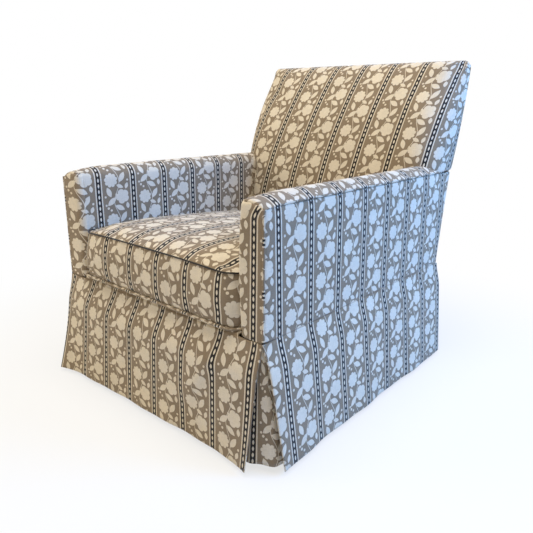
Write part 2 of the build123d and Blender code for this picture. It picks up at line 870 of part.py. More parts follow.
def skirt_level(corner, along, level):
    height, left, right, out_left, out_middle, out_right, wave = level
    spot = Vector(corner.X, corner.Y, height)
    bow = 2 * (out_left + out_right) - 4 * out_middle
    with BuildSketch(Plane(spot, x_dir=along, z_dir=(0, 0, 1))) as strip:
        with BuildLine():
            for inset in (0, cloth):
                points = []
                for n in range(fold_count + 1):
                    t = n / fold_count
                    out = out_left + (out_right - out_left) * t - bow * t * (1 - t)
                    points.append(Vector(left + (right - left) * t, inset - out))
                for n in range(fold_count):
                    bulge = Vector(0, -wave if n % 2 else wave)
                    middle = (points[n] + points[n + 1]) * 0.5 + bulge
                    ThreePointArc(points[n], middle, points[n + 1])
            Line((left, -out_left), (left, cloth - out_left))
            Line((right, -out_right), (right, cloth - out_right))
        make_face()
    return strip.sketch


def skirt_panel(corner, along, levels):
    with BuildPart() as panel:
        loft([skirt_level(corner, along, level) for level in levels])
    return panel.part


front_end = arm_half - soft_gap
with BuildPart() as skirt_front:
    near_belly = front_belly - cloth
    seam = (skirt_top, -front_end, front_end, skirt_start, skirt_start, skirt_start, seam_wave)
    belly = (belly_height, -front_end, front_end, near_belly, front_belly, near_belly, belly_wave)
    hem = (
        hem_height,
        -arm_half - skirt_corner_lean,
        arm_half - pleat_lean,
        corner_flare,
        front_hem_flare,
        corner_flare - belly_wave,
        hem_wave,
    )
    halfway = tuple((a + b) / 2 for a, b in zip(belly, hem))
    add(skirt_panel(Vector(0, front_plane), (1, 0, 0), (seam, belly, halfway, hem)))
skirt_front.part.label = "skirt_front"
export_step(skirt_front.part, "parts/skirt_front.step")

with BuildPart() as skirt_back:
    levels = (
        (skirt_top, -front_end, front_end, skirt_start, skirt_start, skirt_start, seam_wave),
        (
            hem_height,
            -arm_half - rear_lean,
            arm_half + rear_lean,
            rear_flare,
            rear_flare,
            rear_flare,
            hem_wave,
        ),
    )
    add(skirt_panel(Vector(0, back_plane), (-1, 0, 0), levels))
skirt_back.part.label = "skirt_back"
export_step(skirt_back.part, "parts/skirt_back.step")

with BuildPart() as skirt_right:
    front_edge = front_plane + soft_gap
    rear_edge = back_plane - soft_gap
    levels = (
        (skirt_top, front_edge, rear_edge, skirt_start, skirt_start, skirt_start, seam_wave),
        (
            belly_height,
            front_edge + belly_wave,
            rear_edge + belly_wave,
            side_belly,
            side_belly,
            side_belly,
            belly_wave,
        ),
        (
            hem_height,
            front_edge + side_front_lean,
            rear_edge + side_rear_lean,
            side_tip_flare,
            side_flare,
            side_flare,
            hem_wave / 2,
        ),
    )
    add(skirt_panel(Vector(arm_half, 0), (0, 1, 0), levels))
skirt_right.part.label = "skirt_right"
export_step(skirt_right.part, "parts/skirt_right.step")

with BuildPart() as skirt_left:
    add(mirror(skirt_right.part, about=Plane.YZ))
skirt_left.part.label = "skirt_left"
export_step(skirt_left.part, "parts/skirt_left.step")

# Corner inserts behind the kick pleats: cloth bent round the frame's corner at the seam that
# opens into a slanting panel at the hem. Points are measured from the corner of the chair.
pleat_top = rail_top
pleat_hem = hem_height + 2 * cloth
pleat_gap = cover_thickness - soft_gap - cloth
pleat_bend = cloth / 2


def pleat_strip(corner, sign, end, height, points):
    with BuildSketch(Plane.XY.offset(height)) as strip:
        with BuildLine():
            Polyline([corner + Vector(sign * x, end * y) for x, y in points], close=True)
        make_face()
    return strip.sketch


for side, sign in sides:
    for place, end, corner_y, side_out, end_out in (
        ("front", 1, front_plane, pleat_side_out, pleat_front_out),
        ("rear", -1, back_plane, pleat_rear_side_out, pleat_rear_out),
    ):
        corner = Vector(sign * arm_half, corner_y)
        with BuildPart() as pleat_insert:
            inner = pleat_gap + cloth
            top_points = (
                (-pleat_reach, pleat_gap),
                (-inner, pleat_gap),
                (-pleat_gap, inner),
                (-pleat_gap, pleat_reach),
                (-inner, pleat_reach),
                (-inner, inner + pleat_bend),
                (-inner - pleat_bend, inner),
                (-pleat_reach, inner),
            )
            hem_points = (
                (-pleat_hem_reach, -end_out),
                (-pleat_slant, -end_out),
                (side_out, pleat_slant - end_out),
                (side_out, pleat_hem_reach),
                (side_out - cloth, pleat_hem_reach),
                (side_out - cloth, pleat_slant - end_out + pleat_bend),
                (-pleat_slant - pleat_bend, cloth - end_out),
                (-pleat_hem_reach, cloth - end_out),
            )
            loft(
                [
                    pleat_strip(corner, sign, end, pleat_top, top_points),
                    pleat_strip(corner, sign, end, pleat_hem, hem_points),
                ],
                ruled=True,
            )
        name = f"{place}_{side}_pleat"
        pleat_insert.part.label = name
        export_step(pleat_insert.part, f"parts/{name}.step")

# Loose seat cushion on the deck: drawn-in sides, flat underneath and crowned on top
deck_level = spring_wire + clip_wall + soft_gap + deck_thickness
cushion_plane = seat_plane.offset(deck_level + soft_gap)
welt_reach = 2 * welt_radius + soft_gap
cushion_half = arm_inner - cushion_gap - welt_reach
cushion_front = (front_plane + cushion_front_inset - front_rail_inner) / cos(pitch)


def cushion_outline(plane, inset):
    half = cushion_half - inset
    near = cushion_front + inset
    far = cushion_front + cushion_depth - inset
    middle = (near + far) / 2
    with BuildSketch(plane) as outline:
        with BuildLine():
            ThreePointArc((-half, near), (0, near + cushion_draw_in), (half, near))
            ThreePointArc((half, near), (half - cushion_draw_in, middle), (half, far))
            ThreePointArc((half, far), (0, far - cushion_draw_in), (-half, far))
            ThreePointArc((-half, far), (-half + cushion_draw_in, middle), (-half, near))
        make_face()
        fillet(vertices(), cushion_corner - inset)
    return outline.sketch


def cushion_form(inset):
    half = cushion_half - inset
    near = cushion_front + inset
    far = cushion_front + cushion_depth - inset
    top = cushion_boxing - 2 * inset
    bottom_plane = cushion_plane.offset(inset)
    across = Plane(bottom_plane.origin, x_dir=bottom_plane.x_dir, z_dir=-bottom_plane.y_dir)
    along = Plane(bottom_plane.origin, x_dir=bottom_plane.y_dir, z_dir=bottom_plane.x_dir)
    with BuildPart() as form:
        extrude(cushion_outline(bottom_plane, inset), amount=top + cushion_crown)
        for plane, start, end in ((across, -half, half), (along, near, far)):
            with BuildSketch(plane):
                with BuildLine():
                    middle = (start + end) / 2
                    ThreePointArc((start, top), (middle, top + cushion_crown), (end, top))
                    Polyline((start, top), (start, 0), (end, 0), (end, top))
                make_face()
            extrude(amount=overall_depth, both=True, mode=Mode.INTERSECT)
    return form.part


with BuildPart() as cushion_cover:
    add(cushion_form(0))
    add(cushion_form(cover_cloth), mode=Mode.SUBTRACT)
cushion_cover.part.label = "cushion_cover"
export_step(cushion_cover.part, "parts/cushion_cover.step")

with BuildPart() as cushion_foam:
    add(cushion_form(cover_cloth + soft_gap))
cushion_foam.part.label = "cushion_foam"
export_step(cushion_foam.part, "parts/cushion_foam.step")

# Covered cord sewn round the top and the bottom edge of the boxing
for name, level in (
    ("cushion_top_welt", cushion_boxing - welt_radius),
    ("cushion_bottom_welt", welt_radius),
):
    with BuildPart() as welt:
        path = cushion_outline(cushion_plane.offset(level), -welt_radius - soft_gap).wire()
        with BuildSketch(path ^ 0):
            Circle(welt_radius)
        sweep(path=path)
    welt.part.label = name
    export_step(welt.part, f"parts/{name}.step")

# Zip across the rear boxing and its slider
zip_back = cushion_draw_in * (1 - (zip_length / 2 / cushion_half) ** 2)
zip_y = cushion_front + cushion_depth - zip_back + soft_gap
zip_plane = cushion_plane.offset((cushion_boxing - zip_width) / 2)
slider_plane = cushion_plane.offset((cushion_boxing - slider_width) / 2)

with BuildPart() as cushion_zip:
    with BuildSketch(zip_plane):
        with Locations((0, zip_y)):
            Rectangle(zip_length, zip_thickness, align=(Align.CENTER, Align.MIN))
    extrude(amount=zip_width)
cushion_zip.part.label = "cushion_zip"
export_step(cushion_zip.part, "parts/cushion_zip.step")

with BuildPart() as zip_slider:
    with BuildSketch(slider_plane):
        with Locations((-zip_length / 2, zip_y + zip_thickness + soft_gap)):
            Rectangle(slider_length, slider_height, align=(Align.MIN, Align.MIN))
    extrude(amount=slider_width)
zip_slider.part.label = "zip_slider"
export_step(zip_slider.part, "parts/zip_slider.step")

# Black cloth tacked under the frame, between it and the swivel plate
with BuildPart() as dust_cover:
    with BuildSketch(Plane.XY.offset(upper_plate_top)):
        with Locations((0, rail_front + dust_cover_inset)):
            Rectangle(
                2 * (rail_side - dust_cover_inset),
                rail_rear - rail_front - 2 * dust_cover_inset,
                align=(Align.CENTER, Align.MIN),
            )
        Circle(king_washer_diameter / 2 + cover_thickness, mode=Mode.SUBTRACT)
        with GridLocations(plate_bolt_spacing, plate_bolt_spacing, 2, 2):
            Circle(plate_bolt_hole, mode=Mode.SUBTRACT)
    extrude(amount=dust_cover_thickness)
dust_cover.part.label = "dust_cover"
export_step(dust_cover.part, "parts/dust_cover.step")
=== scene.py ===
import bpy
import bmesh
import json
import math
import numpy as np
from mathutils import Matrix, Vector

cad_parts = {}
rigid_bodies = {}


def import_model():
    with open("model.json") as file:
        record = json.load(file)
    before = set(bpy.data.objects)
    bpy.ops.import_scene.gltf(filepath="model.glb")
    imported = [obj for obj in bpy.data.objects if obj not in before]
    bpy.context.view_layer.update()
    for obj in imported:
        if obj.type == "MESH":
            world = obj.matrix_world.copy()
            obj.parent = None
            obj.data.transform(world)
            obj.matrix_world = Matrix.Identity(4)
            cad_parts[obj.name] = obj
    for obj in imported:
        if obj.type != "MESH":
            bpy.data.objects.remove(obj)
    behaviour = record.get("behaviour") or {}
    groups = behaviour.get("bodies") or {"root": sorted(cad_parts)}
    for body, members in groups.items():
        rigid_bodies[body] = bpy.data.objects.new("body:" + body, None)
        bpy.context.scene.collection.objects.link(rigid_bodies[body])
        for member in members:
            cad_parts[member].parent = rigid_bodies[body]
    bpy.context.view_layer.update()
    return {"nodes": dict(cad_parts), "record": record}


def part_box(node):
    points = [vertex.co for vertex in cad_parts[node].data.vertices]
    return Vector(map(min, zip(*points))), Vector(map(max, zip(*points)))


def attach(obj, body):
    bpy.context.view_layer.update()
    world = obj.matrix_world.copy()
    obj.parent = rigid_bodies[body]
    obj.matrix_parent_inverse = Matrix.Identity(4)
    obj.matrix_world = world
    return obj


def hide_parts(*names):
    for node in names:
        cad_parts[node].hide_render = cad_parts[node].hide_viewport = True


for old in list(bpy.data.objects):
    bpy.data.objects.remove(old)
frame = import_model()
scene = bpy.context.scene
mm = 0.001
print("frame loaded:", len(frame["nodes"]), "nodes")


def addNode(tree, kind, ins=None, **settings):
    # a node with its settings, then its values and links by socket; gives the node's outputs
    made = tree.nodes.new(kind)
    for key, value in settings.items():
        setattr(made, key, value)
    for key, value in (ins or {}).items():
        if isinstance(value, bpy.types.NodeSocket):
            tree.links.new(value, made.inputs[key])
        else:
            made.inputs[key].default_value = value
    return made.outputs


def hexColor(code):
    parts = [int(code[i:i + 2], 16) / 255 for i in (1, 3, 5)]
    return tuple(c / 12.92 if c <= 0.04045 else ((c + 0.055) / 1.055) ** 2.4 for c in parts) + (1,)


def smooth(x):
    x = np.clip(x, 0, 1)
    return x * x * (3 - 2 * x)


def faceOf(node, axis, far):
    # one face of a CAD node's box at rest, in mm
    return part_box(node)[far][axis] / mm


# sizes that several pieces share, read from the frame, mm
chair = {
    "armInner": faceOf("right_arm_wrap", 0, 0), "armHalf": faceOf("right_arm_wrap", 0, 1),
    "frontPlane": faceOf("right_arm_facing", 1, 0),
    "backPlane": faceOf("skirt_back", 1, 0) + 9,  # the padding stands out a little at the seat seam
    "seam": faceOf("right_outside_arm", 2, 0), "armSeam": faceOf("right_outside_arm", 2, 1),
    "crown": faceOf("right_arm_wrap", 2, 1), "hem": faceOf("skirt_front", 2, 0),
    "top": faceOf("inside_back", 2, 1), "rear": faceOf("inside_back", 1, 1),
    "hollow": 11, "ridge": 22,  # depth of the outside back's arc, and its upper end below the top
}


def rearY(z):
    # side view of the outside back: a hollow arc from the seat seam to the shoulder
    hollow = chair["hollow"]
    footY, footZ = chair["backPlane"], chair["seam"]
    headY, headZ = chair["rear"], chair["top"] - chair["ridge"]
    length = math.hypot(headY - footY, headZ - footZ)
    radius = length ** 2 / (8 * hollow) + hollow / 2
    centreY = (footY + headY) / 2 + (headZ - footZ) / length * (radius - hollow)
    centreZ = (footZ + headZ) / 2 - (headY - footY) / length * (radius - hollow)
    return centreY - np.sqrt(radius ** 2 - (z - centreZ) ** 2)


def makeObject(name, verts, faces, cornerUvs, material, held=None):
    # verts and uvs in mm, one uv pair for each face corner; held is 1 where the cloth is fixed
    mesh = bpy.data.meshes.new(name)
    mesh.from_pydata((np.asarray(verts) * mm).tolist(), [], faces)
    layer = mesh.uv_layers.new(name="cloth")
    layer.data.foreach_set("uv", (np.asarray(cornerUvs) * mm).astype(np.float32).ravel())
    mesh.polygons.foreach_set("use_smooth", np.ones(len(mesh.polygons), bool))
    if held is not None:
        mesh.attributes.new("held", "FLOAT", "POINT").data.foreach_set("value", np.float32(held))
    mesh.materials.append(material)
    obj = bpy.data.objects.new(name, mesh)
    scene.collection.objects.link(obj)
    return obj


def closeUp(obj, weld=True):
    # merges what meets, drops slivers and turns the faces outwards
    bm = bmesh.new()
    bm.from_mesh(obj.data)
    if weld:
        bmesh.ops.remove_doubles(bm, verts=bm.verts, dist=0.05 * mm)
        bmesh.ops.dissolve_degenerate(bm, edges=bm.edges, dist=0.01 * mm)
    bmesh.ops.recalc_face_normals(bm, faces=bm.faces)
    bm.to_mesh(obj.data)
    bm.free()
    return obj


def inset(points, depth, core):
    # the grid moved by depth along its normals, towards the core point
    normal = np.cross(np.gradient(points, axis=0), np.gradient(points, axis=1))
    normal /= np.maximum(np.linalg.norm(normal, axis=2, keepdims=True), 1e-9)
    if ((points - np.array(core)) * normal).sum(2).mean() < 0:
        normal = -normal
    return points - normal * np.broadcast_to(depth, points.shape[:2])[..., None]


def stepsFromRim(n, m):
    a, b = np.arange(n), np.arange(m)
    return np.minimum.outer(np.minimum(a, a[::-1]), np.minimum(b, b[::-1]))


def shell(name, outer, inner, uvs, material, softRim=6):
    # a closed panel between two grids, held fast inside and at its rim
    n, m = outer.shape[:2]
    size = n * m
    at = np.arange(size).reshape(n, m)
    quads = np.stack([at[:-1, :-1], at[1:, :-1], at[1:, 1:], at[:-1, 1:]], -1).reshape(-1, 4)
    rim = np.concatenate([at[:, 0], at[-1, 1:], at[-2::-1, -1], at[0, -2:0:-1]])
    following = np.roll(rim, -1)
    sides = np.stack([rim, rim + size, following + size, following], -1)
    faces = np.concatenate([quads, quads[:, ::-1] + size, sides])
    held = np.concatenate([1 - smooth(stepsFromRim(n, m) / softRim).ravel(), np.ones(size)])
    pairs = np.concatenate([uvs.reshape(-1, 2)] * 2)
    verts = np.concatenate([outer.reshape(-1, 3), inner.reshape(-1, 3)])
    return closeUp(makeObject(name, verts, faces.tolist(), pairs[faces.ravel()], material, held))


sim = {"frames": 20, "quality": 6, "stretch": 18, "shear": 8, "bend": 0.4}


def inflate(obj, pressure=0, most=0, slack=0.0):
    # cloth swelled by air; no point ends further than most mm from its start
    mesh = obj.data
    count = len(mesh.vertices)
    start = np.zeros(count * 3)
    mesh.vertices.foreach_get("co", start)
    held = np.zeros(count, np.float32)
    mesh.attributes["held"].data.foreach_get("value", held)
    mesh.attributes.remove(mesh.attributes["held"])
    if pressure:
        group = obj.vertex_groups.new(name="held")
        for index in np.nonzero(held > 0.01)[0].tolist():
            group.add([index], float(held[index]), "REPLACE")
        cloth = obj.modifiers.new("cloth", "CLOTH")
        s = cloth.settings
        s.quality = sim["quality"]
        s.tension_stiffness = s.compression_stiffness = sim["stretch"]
        s.shear_stiffness = sim["shear"]
        s.bending_stiffness = sim["bend"]
        s.use_pressure = True
        s.uniform_pressure_force = pressure
        s.shrink_min = -slack
        s.vertex_group_mass = "held"
        s.effector_weights.gravity = 0
        cloth.point_cache.frame_start, cloth.point_cache.frame_end = 1, sim["frames"]
        for step in range(1, sim["frames"] + 1):
            scene.frame_set(step)
        settled = obj.evaluated_get(bpy.context.evaluated_depsgraph_get()).data
        end = np.zeros(count * 3)
        settled.vertices.foreach_get("co", end)
        move = (end - start).reshape(-1, 3)
        length = np.maximum(np.linalg.norm(move, axis=1, keepdims=True), 1e-9)
        kept = start.reshape(-1, 3) + move / length * (most * mm) * np.tanh(length / (most * mm))
        obj.modifiers.remove(cloth)
        obj.vertex_groups.remove(group)
        mesh.vertices.foreach_set("co", kept.ravel())
        mesh.update()
        scene.frame_set(1)
        print(obj.name, "swelled by up to", round(most * math.tanh(length.max() / (most * mm)), 1), "mm")
    soft = obj.modifiers.new("soft", "SUBSURF")
    soft.levels = soft.render_levels = 1


def settle(obj, body, slot, fill, *nodes):
    # puts a padded piece in the place of its CAD nodes
    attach(obj, body)
    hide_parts(*nodes)


def upholster(name, node, outer, inner, uvs, fill, slot="printed_linen", softRim=6, air=(0, 0)):
    # a padded panel of the chair
    obj = shell(name, outer, inner, uvs, finish[slotFinish[slot]], softRim)
    inflate(obj, *air)
    settle(obj, "chair", slot, fill, node)


def lineRun(points):
    # distance travelled along a line of points
    return np.concatenate([[0], np.cumsum(np.linalg.norm(np.diff(points, axis=0), axis=1))])


def runLength(points, axis):
    # distance travelled along one axis of a grid of points
    steps = np.linalg.norm(np.diff(points, axis=axis), axis=2)
    pad = [(0, 0), (0, 0)]
    pad[axis] = (1, 0)
    return np.cumsum(np.pad(steps, pad), axis=axis)


# printed linen: taupe ground, cream sprigs, dark chain stripe between cream lines, mm
linen = {
    "ground": "#8a7963", "cream": "#dbcfba", "ink": "#272422", "repeat": 113.5, "rise": 120,
    "bandHalf": 6.6, "lineIn": 7.6, "lineOut": 10.8, "linkPitch": 16.4, "linkHalf": (2.6, 6.5),
    "inkBleed": 0.3, "clear": 1.5, "stemHalf": 0.9, "stemSway": 9, "petalRoot": 0.75, "petalReach": 0.26,
    "thread": 1.7, "slub": (1.1, 17), "yarnTone": (0.87, 1.1),
    "dyeTone": (0.95, 1.04), "dyePerMetre": 9.0,  # slow change of the dye over the cloth
    "bump": 0.35, "bumpDepth": 0.6, "rough": 0.88, "specular": 0.25, "sheen": 0.15, "sheenRough": 0.5,
}
# one column of sprigs: kind, x, y, half length, half width, turn in degrees, petals
sprigs = (
    ("bloom", -17, 36, 21, 21, 12, 9), ("bloom", 18, -15, 22, 22, 40, 5), ("leaf", 19, 43, 17, 8, 58, 0),
    ("leaf", -25, 1, 16, 7.5, 112, 0), ("leaf", -17, -27, 18, 8, 38, 0), ("leaf", 11, 16, 12, 5.5, -24, 0),
    ("leaf", 8, -48, 17, 7.5, 152, 0), ("leaf", 34, -44, 10, 5.5, 96, 0), ("leaf", 33, 16, 10, 5.5, 70, 0),
    ("berry", -30, -46, 3.6, 3.6, 0, 0), ("berry", -21, -53, 3.4, 3.4, 0, 0),
    ("berry", -36, -37, 3.2, 3.2, 0, 0), ("berry", 37, 33, 3.2, 3.2, 0, 0),
    ("berry", -2, -7, 3.0, 3.0, 0, 0), ("berry", -37, -12, 3.2, 3.2, 0, 0),
)


def newMaterial(name):
    mat = bpy.data.materials.new(name)
    mat.use_nodes = True
    mat.node_tree.nodes.clear()
    return mat, mat.node_tree


def printedLinen(name):
    # printed linen union: matt, slubby cloth with a soft bloom of light at grazing angles
    mat, tree = newMaterial(name)
    uv = addNode(tree, "ShaderNodeUVMap", uv_map="cloth")[0]
    parts = addNode(tree, "ShaderNodeSeparateXYZ", {0: uv})
    half, rise = linen["repeat"] * mm / 2, linen["rise"] * mm

    # place across the stripe, 0 on the chain, and across the column, 0 at its middle
    stripe = addNode(tree, "ShaderNodeMath", {0: parts[0], 1: half, 2: -half}, operation="WRAP")[0]
    moved = addNode(tree, "ShaderNodeMath", {0: parts[0], 1: half}, operation="SUBTRACT")[0]
    column = addNode(tree, "ShaderNodeMath", {0: moved, 1: half, 2: -half}, operation="WRAP")[0]
    index = addNode(tree, "ShaderNodeMath", {0: parts[0], 1: 2 * half}, operation="DIVIDE")[0]
    index = addNode(tree, "ShaderNodeMath", {0: index}, operation="FLOOR")[0]
    lift = addNode(tree, "ShaderNodeMath", {0: index, 1: rise / 2, 2: parts[1]}, operation="MULTIPLY_ADD")[0]

    # swaying stem, then every bloom, leaf and berry; below 1 is inside
    sway = addNode(tree, "ShaderNodeMath", {0: lift, 1: 2 * math.pi / rise}, operation="MULTIPLY")[0]
    sway = addNode(tree, "ShaderNodeMath", {0: sway}, operation="SINE")[0]
    stem = {0: sway, 1: -linen["stemSway"] * mm, 2: column}
    stem = addNode(tree, "ShaderNodeMath", stem, operation="MULTIPLY_ADD")[0]
    stem = addNode(tree, "ShaderNodeMath", {0: stem}, operation="ABSOLUTE")[0]
    motif = addNode(tree, "ShaderNodeMath", {0: stem, 1: linen["stemHalf"] * mm}, operation="DIVIDE")[0]
    for kind, x, y, length, width, turn, petals in sprigs:
        level = addNode(tree, "ShaderNodeMath", {0: lift, 1: y * mm}, operation="SUBTRACT")[0]
        level = addNode(tree, "ShaderNodeMath", {0: level, 1: rise / 2, 2: -rise / 2}, operation="WRAP")[0]
        spot = addNode(tree, "ShaderNodeCombineXYZ", {0: column, 1: level})[0]
        place = {0: spot, 1: (x * mm, 0, 0), 2: (0, 0, math.radians(turn)), 3: (length * mm, width * mm, 1)}
        local = addNode(tree, "ShaderNodeMapping", place, vector_type="TEXTURE")[0]
        shape = addNode(tree, "ShaderNodeVectorMath", {0: local}, operation="LENGTH")["Value"]
        axes = addNode(tree, "ShaderNodeSeparateXYZ", {0: local})
        if kind == "leaf":
            bow = addNode(tree, "ShaderNodeMath", {0: axes[0], 1: axes[0]}, operation="MULTIPLY")[0]
            side = addNode(tree, "ShaderNodeMath", {0: axes[1]}, operation="ABSOLUTE")[0]
            shape = addNode(tree, "ShaderNodeMath", {0: bow, 1: side}, operation="ADD")[0]
        if kind == "bloom":
            angle = addNode(tree, "ShaderNodeMath", {0: axes[1], 1: axes[0]}, operation="ARCTAN2")[0]
            wave = addNode(tree, "ShaderNodeMath", {0: angle, 1: petals / 2}, operation="MULTIPLY")[0]
            wave = addNode(tree, "ShaderNodeMath", {0: wave}, operation="COSINE")[0]
            wave = addNode(tree, "ShaderNodeMath", {0: wave}, operation="ABSOLUTE")[0]
            wave = addNode(tree, "ShaderNodeMath", {0: wave, 1: 0.5}, operation="POWER")[0]
            reach = {0: wave, 1: linen["petalReach"], 2: linen["petalRoot"]}
            reach = addNode(tree, "ShaderNodeMath", reach, operation="MULTIPLY_ADD")[0]
            shape = addNode(tree, "ShaderNodeMath", {0: shape, 1: reach}, operation="DIVIDE")[0]
        motif = addNode(tree, "ShaderNodeMath", {0: motif, 1: shape}, operation="MINIMUM")[0]
    motif = addNode(tree, "ShaderNodeMapRange", {0: motif, 1: 1.03, 2: 0.97})[0]

    # chain: a dark band with pale links in it, and a pale line on each side
    across = addNode(tree, "ShaderNodeMath", {0: stripe}, operation="ABSOLUTE")[0]
    outer, inner = ((linen["bandHalf"] + side * linen["inkBleed"]) * mm for side in (1, -1))
    band = addNode(tree, "ShaderNodeMapRange", {0: across, 1: outer, 2: inner})[0]
    past = addNode(tree, "ShaderNodeMath", {0: across, 1: linen["lineIn"] * mm}, operation="GREATER_THAN")[0]
    short = addNode(tree, "ShaderNodeMath", {0: across, 1: linen["lineOut"] * mm}, operation="LESS_THAN")[0]
    pale = addNode(tree, "ShaderNodeMath", {0: past, 1: short}, operation="MULTIPLY")[0]
    pitch = linen["linkPitch"] * mm
    link = addNode(tree, "ShaderNodeMath", {0: parts[1], 1: pitch / 2, 2: -pitch / 2}, operation="WRAP")[0]
    link = addNode(tree, "ShaderNodeMath", {0: link}, operation="ABSOLUTE")[0]
    link = addNode(tree, "ShaderNodeMath", {0: link, 1: linen["linkHalf"][1] * mm}, operation="DIVIDE")[0]
    wide = addNode(tree, "ShaderNodeMath", {0: across, 1: linen["linkHalf"][0] * mm}, operation="DIVIDE")[0]
    link = addNode(tree, "ShaderNodeMath", {0: link, 1: link, 2: wide}, operation="MULTIPLY_ADD")[0]
    link = addNode(tree, "ShaderNodeMapRange", {0: link, 1: 1.1, 2: 0.9})[0]
    pale = addNode(tree, "ShaderNodeMath", {0: pale, 1: link}, operation="MAXIMUM")[0]
    clear = {0: across, 1: (linen["lineOut"] + linen["clear"]) * mm}
    clear = addNode(tree, "ShaderNodeMath", clear, operation="GREATER_THAN")[0]
    motif = addNode(tree, "ShaderNodeMath", {0: motif, 1: clear}, operation="MULTIPLY")[0]

    # slubs: faint streaks of thicker yarn both ways, and dye uneven over 110 mm or so
    fine, coarse = (1 / (s * mm) for s in linen["slub"])
    streaks = []
    for stretch in ((fine, coarse, 1), (coarse, fine, 1)):
        streak = addNode(tree, "ShaderNodeMapping", {0: uv, 3: stretch})[0]
        streak = addNode(tree, "ShaderNodeTexNoise", {"Vector": streak, "Scale": 1.0, "Detail": 2.0})[0]
        streaks.append(streak)
    yarn = addNode(tree, "ShaderNodeMath", {0: streaks[0], 1: streaks[1]}, operation="ADD")[0]
    yarn = {0: yarn, 1: 0.7, 2: 1.3, 3: linen["yarnTone"][0], 4: linen["yarnTone"][1]}
    yarn = addNode(tree, "ShaderNodeMapRange", yarn)[0]
    dye = {"Vector": uv, "Scale": linen["dyePerMetre"], "Detail": 2.0}
    dye = addNode(tree, "ShaderNodeTexNoise", dye)[0]
    dye = {0: dye, 1: 0.3, 2: 0.7, 3: linen["dyeTone"][0], 4: linen["dyeTone"][1]}
    dye = addNode(tree, "ShaderNodeMapRange", dye)[0]
    tone = addNode(tree, "ShaderNodeMath", {0: yarn, 1: dye}, operation="MULTIPLY")[0]

    color = hexColor(linen["ground"])
    for share, dyed in ((motif, "cream"), (band, "ink"), (pale, "cream")):
        layers = {0: share, 6: color, 7: hexColor(linen[dyed])}
        color = addNode(tree, "ShaderNodeMix", layers, data_type="RGBA")[2]
    color = {0: 1.0, 6: color, 7: tone}
    color = addNode(tree, "ShaderNodeMix", color, data_type="RGBA", blend_type="MULTIPLY")[2]

    # plain weave, drawn at about three times its real spacing so that it shows
    turns = 2 * math.pi / (linen["thread"] * mm)
    threads = []
    for way in (parts[0], parts[1]):
        thread = addNode(tree, "ShaderNodeMath", {0: way, 1: turns}, operation="MULTIPLY")[0]
        threads.append(addNode(tree, "ShaderNodeMath", {0: thread}, operation="SINE")[0])
    weave = {0: threads[0], 1: threads[1], 2: yarn}
    weave = addNode(tree, "ShaderNodeMath", weave, operation="MULTIPLY_ADD")[0]
    bump = {"Strength": linen["bump"], "Distance": linen["bumpDepth"] * mm, "Height": weave}
    bump = addNode(tree, "ShaderNodeBump", bump)[0]
    cloth = {
        "Base Color": color, "Roughness": linen["rough"], "Normal": bump,
        "Specular IOR Level": linen["specular"],
        "Sheen Weight": linen["sheen"], "Sheen Roughness": linen["sheenRough"],
    }
    cloth = addNode(tree, "ShaderNodeBsdfPrincipled", cloth)[0]
    addNode(tree, "ShaderNodeOutputMaterial", {0: cloth})
    return mat


# other finishes: two close colours mixed by a noise of a real size, with a bump to match
# each has its two colours, grain size in mm, roughness, metallic, bump strength and bump depth in mm
finishes = {
    # sawn wood: long pale and dark grain
    "kiln dried poplar": ("#b99763", "#8a6a3f", (60, 4, 4), 0.7, 0, 0.25, 0.4),
    # baked powder: dull black with a fine orange peel
    "black powder coated steel": ("#161616", "#1f1f20", (1.5, 1.5, 1.5), 0.5, 0, 0.2, 0.15),
    # bright zinc: grey white metal, a little cloudy
    "zinc plated steel": ("#b9bab8", "#9fa19f", (6, 6, 6), 0.34, 1, 0.08, 0.05),
    # ground and lapped: near mirror
    "ground bearing steel": ("#c4c5c7", "#b4b6b9", (4, 4, 4), 0.16, 1, 0.03, 0.02),
    # drawn wire blued by heat, oily dark grey
    "oiled spring wire": ("#4c4b4a", "#343332", (8, 8, 8), 0.42, 1, 0.1, 0.1),
    # moulded, milky and waxy
    "natural nylon": ("#ddd8c6", "#d2cbb5", (3, 3, 3), 0.45, 0, 0.05, 0.05),
    # moulded, satin black
    "black nylon": ("#1a1a1b", "#242425", (2, 2, 2), 0.5, 0, 0.1, 0.1),
    # coarse woven tape, ribs along its length
    "jute webbing": ("#3a2f24", "#55452f", (2, 40, 2), 0.9, 0, 0.5, 0.6),
    # spun bonded cloth, flat black with a felted speckle
    "black cambric": ("#131314", "#1e1e20", (1.6, 1.6, 1.6), 0.95, 0, 0.4, 0.3),
    # carded fibre, white and lumpy
    "cotton wadding": ("#e9e6dd", "#d5d0c3", (9, 9, 9), 0.98, 0, 0.8, 2.0),
    # undyed cotton duck, matt with a small weave
    "plain deck cloth": ("#a3927a", "#8f7f68", (1.8, 1.8, 1.8), 0.92, 0, 0.4, 0.4),
    # die cast and tumbled, warm and slightly dull
    "cast brass": ("#b8904a", "#a27c3c", (3, 3, 3), 0.35, 1, 0.1, 0.08),
}


